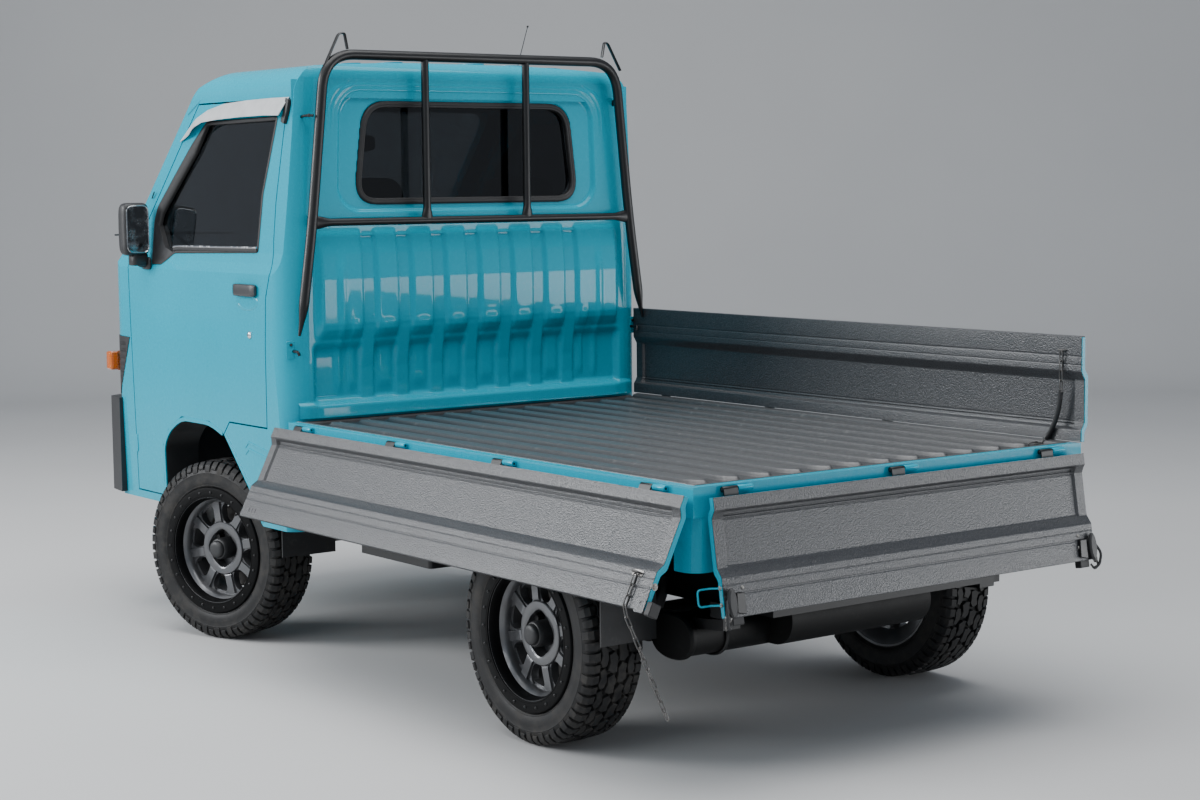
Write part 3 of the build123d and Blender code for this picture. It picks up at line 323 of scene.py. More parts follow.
def round_head(radius, height, sides=12):
    """Low domed screw head: radius falls as a quarter ellipse over its height."""
    rise = np.linspace(0, 1, 4)[:, None]
    spread = radius * np.sqrt(1 - (rise * 0.94) ** 2)
    return capped(polar(spread, circle(sides), height * rise))


def power(value, exponent):
    """Value to a power with its sign kept."""
    return np.sign(value) * np.abs(value) ** exponent


def ease(value, low, high):
    """Smooth rise from 0 at low to 1 at high: 3 t squared minus 2 t cubed."""
    t = np.clip((value - low) / (high - low), 0, 1)
    return t * t * (3 - 2 * t)


def piece(name, shape, body, slot, replaces=(), look=None, smooth=35):
    """Mesh object from a shape, its faces turned outward, riding on a body of the frame; its
    finish is the one named as its slot unless a look is given."""
    mesh = bpy.data.meshes.new(name)
    mesh.from_pydata(np.asarray(shape[0], float).reshape(-1, 3).tolist(), [], shape[1])
    work = bmesh.new()
    work.from_mesh(mesh)
    bmesh.ops.remove_doubles(work, verts=work.verts, dist=1e-6)
    bmesh.ops.recalc_face_normals(work, faces=work.faces)
    work.to_mesh(mesh)
    work.free()
    mesh.polygons.foreach_set("use_smooth", np.ones(len(mesh.polygons), bool))
    mesh.set_sharp_from_angle(angle=radians(smooth))
    made = bpy.data.objects.new(name, mesh)
    bpy.context.scene.collection.objects.link(made)
    made.data.materials.append(finish(look or slot))
    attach(made, body)
    if replaces:
        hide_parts(*replaces)
    return made


# Finishes
class Value:
    """A number on its way through a material, with the usual operators."""

    def __init__(self, finish, socket):
        self.finish, self.socket = finish, socket

    def math(self, operation, *others, first=None):
        """Math node of this value and the others, or of a first value and this one."""
        values = (self, *others) if first is None else (first, self)
        made = self.finish.node("ShaderNodeMath", {"operation": operation},
                                **{str(k): value for k, value in enumerate(values)})
        return Value(self.finish, made.outputs[0])

    def __add__(self, other):
        return self.math("ADD", other)

    __radd__ = __add__

    def __sub__(self, other):
        return self.math("SUBTRACT", other)

    def __rsub__(self, other):
        return self.math("SUBTRACT", first=other)

    def __mul__(self, other):
        return self.math("MULTIPLY", other)

    __rmul__ = __mul__

    def size(self):
        """Value without its sign."""
        return self.math("ABSOLUTE")

    def rise(self, low, high):
        """0 below low, 1 above high, and a straight rise between."""
        made = self.finish.node("ShaderNodeMapRange", {"clamp": True}, Value=self,
                                From_Min=low, From_Max=high)
        return Value(self.finish, made.outputs[0])


class Finish:
    """One material: a Principled shader and the nodes that lead to it."""

    def __init__(self, name, **constants):
        self.material = bpy.data.materials.new(name)
        self.material.use_nodes = True
        self.tree = self.material.node_tree
        self.tree.nodes.clear()
        self.shader = self.node("ShaderNodeBsdfPrincipled", {}, **constants)
        self.out = self.node("ShaderNodeOutputMaterial", {}, Surface=self.shader.outputs[0])
        self.place = self.node("ShaderNodeTexCoord").outputs["Object"]

    def feed(self, socket, value):
        """Links a socket to a value, or sets it."""
        if isinstance(value, Value):
            value = value.socket
        if isinstance(value, bpy.types.NodeSocket):
            self.tree.links.new(value, socket)
        elif socket.type == "RGBA" and len(value) == 3:
            socket.default_value = (*value, 1)
        else:
            socket.default_value = value

    def node(self, kind, settings=None, **inputs):
        """Any node: its settings first, then a value or a link for each named socket."""
        made = self.tree.nodes.new(kind)
        for key, setting in (settings or {}).items():
            setattr(made, key, setting)
        for key, value in inputs.items():
            self.feed(made.inputs[int(key) if key.isdigit() else key.replace("_", " ")], value)
        return made

    def noise(self, scale, detail=3.0, rough=0.5):
        """Cloudy pattern from 0 to 1."""
        made = self.node("ShaderNodeTexNoise", {}, Vector=self.place, Scale=scale,
                         Detail=detail, Roughness=rough)
        return Value(self, made.outputs[0])

    def cells(self, scale):
        """Smoothed distance within cells."""
        made = self.node("ShaderNodeTexVoronoi", {"feature": "SMOOTH_F1"}, Vector=self.place,
                         Scale=scale)
        return Value(self, made.outputs[0])

    def axes(self):
        """Object coordinates as three values."""
        made = self.node("ShaderNodeSeparateXYZ", {}, Vector=self.place)
        return [Value(self, socket) for socket in made.outputs]

    def mix(self, first, second, factor):
        """Colour between two colours."""
        made = self.node("ShaderNodeMix", {"data_type": "RGBA"},
                         **{"0": factor, "6": first, "7": second})
        return made.outputs[2]

    def use(self, **links):
        """Links or sets the shader's own sockets."""
        for key, value in links.items():
            self.feed(self.shader.inputs[key.replace("_", " ")], value)
        return self

    def bump(self, height, strength=0.3, distance=0.001):
        """Bump of the shader's normal."""
        made = self.node("ShaderNodeBump", {}, Strength=strength, Distance=distance,
                         Height=height)
        return self.use(Normal=made.outputs[0])


def shade(colour, amount):
    """Colour times an amount."""
    return tuple(min(1.0, channel * amount) for channel in colour)


made_finishes = {}


def finish(name):
    """The named finish, made the first time that it is asked for."""
    if name not in made_finishes:
        made_finishes[name] = FINISHES[name](name)
    return made_finishes[name].material


def make_paint(name):
    """Gloss paint: faint cloudiness, road film toward the ground, fine orange peel under coat."""
    made = Finish(name, IOR=1.45, Specular_IOR_Level=0.12)
    colour = tuple(paint().body)
    film = (made.noise(26, 5, 0.65) * (0.62 - made.axes()[2]).rise(0.0, 0.5)).rise(0.16, 0.5)
    base = made.mix(shade(colour, 0.94), shade(colour, 1.05), made.noise(3.0, 3))
    made.use(Base_Color=made.mix(base, (0.13, 0.12, 0.1), film * 0.5),
             Roughness=made.noise(60, 3) * 0.06 + film * 0.4 + 0.24,
             Coat_Weight=(1 - film * 0.9) * 0.36, Coat_Roughness=0.035, Coat_IOR=1.5)
    return made.bump(made.noise(420, 1), 0.035, 0.0006)


def coating(made, colour):
    """Sprayed coating: pebbled grains of two sizes, a painted highlight on the grains' tops and painted shade
    between them, paler dust on the fine grain's high spots.
    """
    grains = made.cells(300)
    fine = made.noise(420, 2, 0.6)
    wide = made.noise(5, 4, 0.6)
    height = (1 - grains) * 0.8 + fine * 0.5
    dust = fine.rise(0.52, 0.72)
    # Painted highlight on the grains' raised tops and painted shade in the low ground between them
    base = made.mix(shade(colour, 0.6), shade(colour, 1.9), grains.rise(0.45, 0.1))
    base = made.mix(base, (0.2, 0.2, 0.195), dust * (0.16 + wide * 0.16))
    rough = 0.29 + grains * 0.14 + dust * 0.12
    return base, rough, height


def make_liner(name):
    """Sprayed bed coating."""
    made = Finish(name, Specular_IOR_Level=0.85)
    base, rough, height = coating(made, tuple(paint().liner))
    return made.use(Base_Color=base, Roughness=rough).bump(height, 0.75, 0.0016)


def make_bed_coating(name):
    """Bed coating: a painted highlight on the ribs' tops and painted shade in the low places between them."""
    made = Finish(name, Specular_IOR_Level=0.85)
    colour = tuple(paint().liner)
    base, rough, height = coating(made, colour)
    # Painted shade in the low places between the ribs, a painted highlight on the ribs' tops
    top = made.axes()[2].rise(0.7375, 0.7435)
    low = made.mix(base, shade(colour, 0.35), (1 - top) * 0.75)
    # Paler dirt spots, mixed with the same grey as the painted highlight on the ribs' tops
    spots = made.noise(38, 2, 0.4).rise(0.66, 0.72)
    base = made.mix(low, (0.13, 0.13, 0.128), top * 0.22 + spots * 0.3)
    return made.use(Base_Color=base, Roughness=rough + (1 - top) * 0.1).bump(height, 0.5, 0.0011)


def satin(colour, rough=0.38, grain=0.0, wear=0.0, scale=400, gloss=0.5):
    """Painted or moulded black: cloudy gloss, fine grain, grey scuffs where wear is asked."""

    def make(name):
        made = Finish(name, Specular_IOR_Level=gloss)
        cloud = made.noise(24, 4, 0.6)
        scuff = (made.noise(90, 5, 0.7) * cloud).rise(0.3, 0.5)
        base = made.mix(shade(colour, 0.8), shade(colour, 1.3), cloud)
        made.use(Base_Color=made.mix(base, (0.16, 0.155, 0.15), scuff * wear),
                 Roughness=rough + cloud * 0.14 + scuff * (0.25 * wear))
        height = made.noise(scale, 2) * grain + cloud * 0.1
        return made.bump(height, 0.25, 0.0006)
    return make


def metal(colour, rough, dirt=0.4, dirt_colour=(0.1, 0.085, 0.07)):
    """Bare or plated metal with a dull film in patches."""

    def make(name):
        made = Finish(name)
        patch = (made.noise(35, 5, 0.65)).rise(0.45, 0.72)
        fine = made.noise(260, 3)
        made.use(Base_Color=made.mix(made.mix(shade(colour, 0.85), shade(colour, 1.1), fine),
                                     dirt_colour, patch * dirt),
                 Metallic=1 - patch * dirt, Roughness=rough + patch * 0.35 + fine * 0.08)
        return made.bump(fine + patch * 0.5, 0.12, 0.0005)
    return make


def make_alloy(name):
    """Gunmetal lacquer with faint metallic grain and dust in patches."""
    made = Finish(name)
    colour = tuple(paint().alloy)
    fine = made.noise(700, 2)
    dust = made.noise(30, 5, 0.65).rise(0.42, 0.75)
    base = made.mix(shade(colour, 0.85), shade(colour, 1.15), fine)
    made.use(Base_Color=made.mix(base, (0.12, 0.11, 0.1), dust * 0.3), Metallic=0.75 - dust * 0.3,
             Roughness=0.3 + dust * 0.22 + fine * 0.05, Coat_Weight=0.5 - dust * 0.4,
             Coat_Roughness=0.08)
    return made.bump(fine, 0.05, 0.0004)


def make_tyre(name):
    """Tread rubber: grey bloom, dust in patches, grain finer than the blocks."""
    made = Finish(name, Specular_IOR_Level=0.3)
    cloud = made.noise(16, 4, 0.6)
    fine = made.noise(520, 3, 0.6)
    dust = (made.noise(44, 5, 0.7) * cloud).rise(0.22, 0.42)
    base = made.mix((0.0075, 0.0075, 0.008), (0.016, 0.016, 0.0165), cloud)
    made.use(Base_Color=made.mix(base, (0.1, 0.092, 0.08), dust * 0.35),
             Roughness=0.55 + dust * 0.3 - cloud * 0.06)
    return made.bump(fine + dust * 0.6, 0.3, 0.0007)


def glass(colour):
    """Window glass: tinted body, a faint film of dust in its roughness."""

    def make(name):
        made = Finish(name, Transmission_Weight=1.0, IOR=1.45)
        film = made.noise(9, 4, 0.6).rise(0.4, 0.75)
        base = colour() if callable(colour) else colour
        return made.use(Base_Color=made.mix(base, shade(base, 1.15), film), Roughness=film * 0.03)
    return make


def make_fabric(name):
    """Woven seat cloth: crossed threads at 1.4 mm, flecks of paler yarn."""
    made = Finish(name, Sheen_Weight=0.35, Sheen_Roughness=0.5)
    x, y, z = made.axes()
    warp = (y * (2 * pi / 0.0014)).math("SINE")
    weft = ((x + z) * (2 * pi / 0.0014)).math("SINE")
    weave = warp * weft
    fleck = made.noise(600, 2)
    cloud = made.noise(7, 3)
    base = made.mix((0.035, 0.037, 0.042), (0.11, 0.113, 0.12),
                    (weave * 0.25 + fleck).rise(0.2, 0.9))
    made.use(Base_Color=made.mix(base, (0.06, 0.062, 0.068), cloud * 0.5),
             Roughness=0.86 + cloud * 0.1)
    return made.bump(weave * 0.5 + fleck, 0.3, 0.0005)


def lens(colour):
    """Moulded lens: fine crossed flutes, 6 mm apart, with painted shade in their troughs, behind a clear face."""

    def make(name):
        made = Finish(name, Transmission_Weight=0.35, IOR=1.49, Coat_Weight=1.0,
                      Coat_Roughness=0.03)
        y, z = [(axis * (2 * pi / 0.006)).math("SINE") * 0.5 for axis in made.axes()[1:]]
        flute = y + z
        # Painted shade: the colour falls to 0.7 of itself in the flutes' troughs
        made.use(Base_Color=made.mix(shade(colour, 0.7), colour, flute * 0.5 + 0.5),
                 Roughness=flute.size() * 0.05 + 0.08)
        return made.bump(flute, 0.4, 0.001)
    return make


FINISHES = {
    "paint": make_paint,
    "bedliner": make_liner,
    "bed_coating": make_bed_coating,
    "black_steel": satin((0.004, 0.0042, 0.0048), 0.3, 0.3, 0.03),
    "chain_steel": metal((0.17, 0.165, 0.16), 0.3, 0.75, (0.02, 0.019, 0.018)),
    "ring_black": satin((0.003, 0.0031, 0.0034), 0.42, 0.3, 0.03, 400, 0.1),
    "clear_glass": glass((0.82, 0.9, 0.87)),
    "tinted_glass": glass(lambda: tuple(paint().tint)),
    "black_rubber": satin((0.012, 0.012, 0.013), 0.48, 0.5, 0.2),
    "black_plastic": satin((0.018, 0.0185, 0.02), 0.4, 0.9, 0.1, 900),
    "grey_plastic": satin((0.1, 0.103, 0.108), 0.5, 0.9, 0.05, 900),
    "visor_plastic": satin((0.46, 0.47, 0.48), 0.28, 0.1, 0.0),
    "seat_fabric": make_fabric,
    "lamp_glass": lens((0.78, 0.8, 0.82)),
    "amber_lens": lens((0.9, 0.2, 0.012)),
    "red_lens": lens((0.45, 0.008, 0.01)),
    "cast_metal": metal((0.16, 0.155, 0.15), 0.5, 0.7),
    # Silencer near black: partly its black paint, partly painted shade of the shadow under the bed
    "exhaust_steel": satin((0.003, 0.003, 0.003), 0.5, 0.4, 0.08, 400, 0.25),
    "tyre": make_tyre,
    "wheel_alloy": make_alloy,
    "zinc": metal((0.36, 0.35, 0.33), 0.34, 0.5, (0.1, 0.09, 0.08)),
    "mirror": metal((0.5, 0.53, 0.55), 0.03, 0.06),
    "grey_handle": satin((0.036, 0.037, 0.04), 0.3, 0.3, 0.05),
    "chrome": metal((0.75, 0.76, 0.78), 0.1, 0.12),
}


# Operators
class TruckStage(bpy.types.Operator):
    """Pale floor with a curved back, soft studio light and the camera at the usual view."""

    bl_idname = "truck.stage"
    bl_label = "Studio and camera"

    def execute(self, context):
        scene = context.scene
        # Floor z = 0 that turns up on a quarter circle of 2.4 m and rises as a wall
        along = np.concatenate([np.linspace(-16, 8.4, 12),
                                8.4 + 2.4 * np.sin(np.linspace(0, pi / 2, 16)), np.full(4, 10.8)])
        height = np.concatenate([np.zeros(12), 2.4 - 2.4 * np.cos(np.linspace(0, pi / 2, 16)),
                                 np.linspace(3, 10, 4)])
        across = np.linspace(-18, 18, 9)
        turn = Matrix.Rotation(radians(-37), 4, "Z")
        points = np.stack([along[:, None] + 0 * across[None], 0 * along[:, None] + across[None],
                           height[:, None] + 0 * across[None]], -1)
        points = points @ np.asarray(turn.to_3x3()).T
        corners, faces = rows_to_faces(points)
        mesh = bpy.data.meshes.new("studio_floor")
        mesh.from_pydata(corners.tolist(), [], faces)
        mesh.polygons.foreach_set("use_smooth", np.ones(len(mesh.polygons), bool))
        floor = bpy.data.objects.new("studio_floor", mesh)
        scene.collection.objects.link(floor)
        tone = Finish("studio_floor", Roughness=0.75)
        cloud = tone.noise(0.7, 3)
        tone.use(Base_Color=tone.mix((0.5, 0.5, 0.5), (0.56, 0.56, 0.555), cloud))
        mesh.materials.append(tone.material)

        world = bpy.data.worlds.new("Studio")
        world.use_nodes = True
        background = world.node_tree.nodes["Background"]
        background.inputs[0].default_value = (0.78, 0.86, 0.98, 1)
        background.inputs[1].default_value = 0.42
        scene.world = world

        strength = sizes().studio_power
        cool = (0.97, 0.985, 1)
        for name, place, target, size, share, colour in (
                ("overhead", (-0.6, 0.6, 6.4), (-0.2, 0, 0.6), (7, 6), 0.62, (1, 1, 1)),
                ("left_bank", (4.4, 6.4, 3.5), (-0.4, 0.6, 0.6), (3.6, 3), 0.6, cool),
                ("side_bank", (-1.5, 8.0, 4.6), (0, 0, 0.8), (6, 3), 0.2, cool),
                ("rear_bank", (-5.6, -5.2, 0.62), (-1.5, 0.2, 0.45), (6, 1.2), 0.2, cool)):
            light = bpy.data.lights.new(name, "AREA")
            light.shape = "RECTANGLE"
            light.size, light.size_y = size
            light.energy = strength * share
            light.color = colour
            lamp = bpy.data.objects.new(name, light)
            scene.collection.objects.link(lamp)
            lamp.location = place
            ahead = Vector(target) - Vector(place)
            lamp.rotation_euler = ahead.to_track_quat("-Z", "Y").to_euler()

        # Camera found from the truck's own known points
        lens_data = bpy.data.cameras.new("camera")
        lens_data.sensor_width = 36
        lens_data.lens = 66.93
        camera = bpy.data.objects.new("camera", lens_data)
        scene.collection.objects.link(camera)
        yaw, pitch, roll = radians(-37.07), radians(-5.58), radians(-0.55)
        ahead = Vector((cos(pitch) * cos(yaw), cos(pitch) * sin(yaw), sin(pitch)))
        right = ahead.cross(Vector((0, 0, 1))).normalized()
        upward = right.cross(ahead)
        right, upward = (right * cos(roll) + upward * sin(roll),
                         upward * cos(roll) - right * sin(roll))
        place = Vector((at(-4059.68), 4.03142, 1.47127))
        camera.matrix_world = Matrix(((right.x, upward.x, -ahead.x, place.x),
                                      (right.y, upward.y, -ahead.y, place.y),
                                      (right.z, upward.z, -ahead.z, place.z), (0, 0, 0, 1)))
        scene.camera = camera
        return {"FINISHED"}


class TruckFinishes(bpy.types.Operator):
    """Gives every solid of the frame the finish of its slot."""

    bl_idname = "truck.finishes"
    bl_label = "Finishes of the solids"

    def execute(self, context):
        slots = {part["node"]: part["material_slot"] for part in frame["record"]["subparts"]}
        for name, solid in nodes.items():
            solid.data.materials.clear()
            solid.data.materials.append(finish(slots[name]))
        return {"FINISHED"}


def wheel_places():
    """For each wheel: its middle, its outward axle direction and its body."""
    for name in WHEELS:
        joint = joints["spin_" + name]
        side = 1 if name.endswith("left") else -1
        axis = Vector(joint["axis"])
        outward = axis if axis.y * side > 0 else -axis
        yield name, Vector(joint["pos_m"]), outward, joint["child"]


# Radius at which the lengths of the tread blocks are measured
TREAD_RADIUS = 0.29


def tread_block(outline, crown, base, top, bevel):
    """Block of tread: outline in arc length and width laid on the tyre's crown radius, from the
    base depth up to the top, its upper edge cut."""
    outline = np.asarray(outline, float)
    if signed_area(outline) < 0:
        outline = outline[::-1]
    loops = []
    for amount, level in ((-bevel * 0.6, base), (0, top - bevel), (bevel, top)):
        loop = inset(outline, amount)
        loops.append(polar(crown(loop[:, 1]) + level, loop[:, 0] / TREAD_RADIUS, loop[:, 1]))
    return capped(np.array(loops))


class TruckTyres(bpy.types.Operator):
    """Tyres: a turned carcass, interlocking tread blocks and shoulder lugs down the wall."""

    bl_idname = "truck.tyres"
    bl_label = "Tyres"

    def execute(self, context):
        deep = sizes().lug_depth
        count = sizes().lugs
        # Radius and axial place from the inner bead round the tread to the outer bead
        half = [(0.1915, 0.0775), (0.203, 0.0785), (0.2075, 0.082), (0.2115, 0.0848),
                (0.2135, 0.0846), (0.216, 0.0862), (0.226, 0.0884), (0.238, 0.0892),
                (0.2485, 0.0884), (0.2525, 0.0894), (0.2555, 0.088), (0.264, 0.0856),
                (0.2715, 0.0815), (0.2775, 0.0755), (0.2805, 0.066), (0.2812, 0.04), (0.2816, 0.0)]
        section = [(r, -h) for r, h in half] + [(r, h) for r, h in half[-2::-1]]
        carcass = turned(section, 120)

        def crown(width):
            return 0.2816 - 0.0022 * (np.abs(width) / 0.07) ** 2

        # Blocks of one pitch: place along it, height taken off, corners along it and across
        kinds = ((0.0, 0.0006, ((-0.46, 0.002), (-0.1, 0.0035), (0.16, 0.001), (0.42, 0.012),
                                (0.3, 0.029), (-0.02, 0.0255), (-0.34, 0.0315), (-0.5, 0.017))),
                 (0.28, 0.001, ((-0.43, 0.036), (-0.14, 0.0305), (0.2, 0.034), (0.46, 0.0425),
                                (0.36, 0.0545), (0.04, 0.0505), (-0.26, 0.0555), (-0.48, 0.0485))))
        pitch = 2 * pi * TREAD_RADIUS / count
        blocks = []
        for k in range(count):
            long = pitch * (1.0 + 0.06 * sin(2 * pi * k / count * 3)) * 0.98
            for side, shift in ((1, 0.0), (-1, pitch * 0.5)):
                for place, less, corners in kinds:
                    middle = k * pitch + shift + long * place
                    blocks.append(tread_block([(middle + long * u, side * w) for u, w in corners],
                                              crown, -0.001, deep - less, 0.0011))
        # Shoulder lugs bend over the corner and run down the wall, long and short in turn
        for k in range(count):
            for side in (1, -1):
                for part, reach in ((0.0, 0.2565), (0.5, 0.2655)):
                    s = (k + part + (0.22 if side > 0 else 0.47)) * pitch
                    wide = pitch * (0.4 if part == 0 else 0.36)
                    path = [(0.2807, 0.0572), (0.2800, 0.0745), (0.2740, 0.0828),
                            ((reach + 0.274) / 2, 0.0875), (reach, 0.0893)]
                    rise = [deep - 0.0014, deep - 0.002, 0.0052, 0.0022, 0.0004]
                    slant = [0.18, 0.05, 0.0, 0.0, 0.03]
                    rows = []
                    for (radius, place), up, lean in zip(path, rise, slant):
                        if place < 0.075:
                            outer = (radius + up, place)
                        else:
                            outer = (radius + up * 0.75, min(place + up * 0.55, 0.0915))
                        row = []
                        for where, point in ((-1, (radius - 0.002, place - 0.002)), (-0.9, outer),
                                             (0.9, outer), (1, (radius - 0.002, place - 0.002))):
                            angle = (s + wide * (where / 2 + lean)) / TREAD_RADIUS
                            row.append([point[0] * cos(angle), point[0] * sin(angle),
                                        side * point[1]])
                        rows.append(row)
                    blocks.append(capped(np.array(rows)))
        tyre = joined([carcass] + blocks)
        for name, middle, outward, body in wheel_places():
            matrix = frame_matrix(middle, (0, 0, 1), outward)
            piece("tyre_tread_" + name, moved(tyre, matrix), body, "tyre",
                  ["tyre_" + name], smooth=28)
        return {"FINISHED"}


class TruckRims(bpy.types.Operator):
    """Rims: spokes between a hub ring and the barrel, a cap, and a bolted outer ring."""

    bl_idname = "truck.rims"
    bl_label = "Rims"

    def execute(self, context):
        count = sizes().spokes
        face = 0.0895
        # Barrel from the bolted ring's inner lip down to the inner flange, as radius and height
        barrel = turned([(0.1715, face - 0.004), (0.169, face - 0.0075), (0.166, face - 0.020),
                         (0.1645, face - 0.034), (0.158, face - 0.040), (0.1535, face - 0.046),
                         (0.1515, face - 0.060), (0.1515, -0.02), (0.156, -0.05), (0.172, -0.062),
                         (0.188, -0.0705), (0.199, -0.076), (0.1995, -0.0795), (0.1975, -0.0795),
                         (0.186, -0.0745), (0.170, -0.068), (0.150, -0.056), (0.1455, -0.02),
                         (0.1455, face - 0.066), (0.150, face - 0.0665), (0.1565, face - 0.0665),
                         (0.176, face - 0.03), (0.1805, face - 0.012), (0.188, face - 0.0125),
                         (0.1905, face - 0.008), (0.176, face - 0.004)], 96)
        # Bolted ring, heights from its face: flat with a rolled outer edge and a turned groove
        ring = shifted(turned([
            (0.1725, -0.0075), (0.1725, -0.0012), (0.1738, 0.0), (0.1768, 0.0),
            (0.1775, -0.0009), (0.1785, -0.0009), (0.1792, 0.0), (0.1995, 0.0),
            (0.2035, -0.001), (0.2062, -0.0045), (0.2068, -0.0105),
            (0.2045, -0.0108), (0.190, -0.0108), (0.190, -0.0085)], 120), (0, 0, face))
        # Black step between the ring and the barrel's lip
        step = shifted(turned([(0.1640, -0.0335), (0.1655, -0.020), (0.1686, -0.0078),
                               (0.1711, -0.0043), (0.1722, -0.0045), (0.1700, -0.0085),
                               (0.1668, -0.020), (0.1652, -0.0338)], 96), (0, 0, face))
        # Spokes: in each eighth the plate's edge leaves an oval window between two spokes
        inner, outer = 0.083, 0.1525
        t = np.linspace(0, 1, 22)
        radius = inner + (outer - inner) * t
        half_turn = pi / count
        opening = np.sqrt(np.maximum(1 - ((t - 0.54) / 0.5) ** 2, 0)) ** 0.8 * half_turn * 0.62
        width = half_turn * 1.002 - opening
        level = face - 0.0565 - 0.004 * t
        rib = 0.0062 * np.clip(np.minimum(t / 0.12, (1.0 - t) / 0.001 + 1), 0, 1)
        thick = 0.024
        pad = np.minimum(0.0135 / radius, width * 0.86)
        columns = [(-1.0, -thick), (-1.0, -0.0035), (-0.97, 0.0), ("pad", 0.0, -1.12),
                   ("pad", 1.0, -1.0), ("pad", 1.0, 1.0), ("pad", 0.0, 1.12), (0.97, 0.0),
                   (1.0, -0.0035), (1.0, -thick)]
        points = np.zeros((len(t), len(columns), 3))
        for j, column in enumerate(columns):
            if column[0] == "pad":
                angle = pad * column[2]
                height = level + rib * column[1]
            else:
                angle = width * column[0]
                height = level + column[1]
            points[:, j] = polar(radius, angle, height)
        spokes = spun(capped(points), count, radians(12))
        # Hub ring with a recess whose wall is scalloped for the nuts: r = 58.5 mm plus 4.2 mm
        # times the cosine of 4 t, which is cut off at -0.4
        angle = circle(120)
        scallop = 0.0585 + 0.0042 * np.maximum(np.cos(4 * angle), -0.4)
        levels = [(0.0865, -0.082), (0.0865, -0.0585), (0.0858, -0.0505), (0.0838, -0.0487),
                  (0.0715, -0.0472), (scallop + 0.003, -0.0478), (scallop, -0.0500),
                  (scallop, -0.086), (0.034, -0.086), (0.034, -0.1065), (0.0865, -0.1065)]
        hub = rows_to_faces(np.array([polar(r, angle, face + h) for r, h in levels]),
                            ring=True, tube=True)
        # Cap: stepped barrel with a domed end, standing on the hub's floor
        cap = shifted(turned([(0.0, -0.0125), (0.014, -0.0128), (0.0225, -0.0142),
                      (0.0268, -0.0175), (0.0285, -0.0225), (0.0285, -0.0275),
                      (0.0318, -0.0285), (0.0345, -0.0325), (0.0352, -0.040),
                      (0.0352, -0.087), (0.0, -0.087)], 48), (0, 0, face))
        bolts = spun(shifted(round_head(0.0046, 0.0034, 8), (0.1895, 0, face - 0.0002)),
                     sizes().ring_bolts)
        sockets = spun(shifted(bolt(0.0024, 0.0009), (0.1895, 0, face + 0.0029)),
                       sizes().ring_bolts)
        nuts = spun(shifted(bolt(0.0105, 0.022), (0.0485, 0, face - 0.0865)), 4,
                    radians(45))
        drum = turned([(0.0, -0.0245), (0.128, -0.0245), (0.1335, -0.0285), (0.1335, -0.031),
                       (0.129, -0.0325), (0.129, -0.060), (0.0, -0.060)], 72)
        valve = placed(wire([(0, 0, 0), (0, 0, 0.012), (0.001, 0, 0.03)], [0.0046, 0.0042, 0.0026],
                            10), (0.1495, 0.0, face - 0.058), (1, 0, 0), (-0.35, 0, 1))
        valve = moved(valve, Matrix.Rotation(radians(-34), 4, "Z"))
        for name, middle, outward, body in wheel_places():
            matrix = frame_matrix(middle, (0, 0, 1), outward)
            for part, shapes, slot, look, smooth in (
                    ("rim_barrel_", [barrel, hub], "wheel_alloy", None, 35),
                    ("rim_spokes_", [spokes], "wheel_alloy", None, 30),
                    ("rim_ring_", [ring, step], "black_steel", "ring_black", 35),
                    ("rim_cap_", [cap, valve], "black_plastic", None, 35),
                    ("rim_bolts_", [bolts, sockets, nuts], "chain_steel", "black_steel", 35),
                    ("brake_drum_", [drum], "cast_metal", None, 35)):
                piece(part + name, moved(joined(shapes), matrix), body, slot,
                      ["rim_" + name] if part == "rim_barrel_" else (), look, smooth)
        return {"FINISHED"}


def ended(middle, end, half, flange, wall, cut=0.0):
    """Closed section carried along z from minus half to half: the end section over a flange at
    each end, a straight blend over the wall, the middle section between; the ends are cut."""
    middle, end = np.asarray(middle, float), np.asarray(end, float)
    if signed_area(end) < 0:
        middle, end = middle[::-1], end[::-1]
    steps = [(half - cut, end), (half - flange, end), (half - flange - wall, middle)]
    if cut:
        steps.insert(0, (half, inset(end, cut)))
    return capped(np.array([raised(loop, -place) for place, loop in steps]
                           + [raised(loop, place) for place, loop in steps[::-1]]))


SIDE_HINGES = (0.141, 0.779, 1.314, 1.844)
# Half length and hinges; a side gate's hinges are metres forward of the bed's rear face
GATES = {"left": (0.994, SIDE_HINGES), "right": (0.994, SIDE_HINGES),
         "rear": (0.660, (-0.56, 0.0, 0.56))}
OUTWARD = {"left": Vector((0, 1, 0)), "right": Vector((0, -1, 0)), "rear": Vector((-1, 0, 0))}
OPENED = {"left": radians(154), "right": 0.0, "rear": radians(171)}


def gate_frame(name, angle):
    """Matrix of a gate at an angle: x its thickness, outward, y its height above the pin, z along
    the pin, which is forward on the left gate and to the left on the rear gate."""
    up = Vector((0, 0, 1))
    outward = OUTWARD[name]
    across = outward * cos(angle) - up * sin(angle)
    return frame_matrix(joints["gate_swing_" + name]["pos_m"], across, outward.cross(up))


def hinge_places(name):
    """Places of a gate's hinges along z of its frame."""
    hinges = GATES[name][1]
    if name == "rear":
        return hinges
    middle = joints["gate_swing_" + name]["pos_m"][0]
    forward = 1 if name == "left" else -1
    return [(at(1000 * place) - middle) * forward for place in hinges]


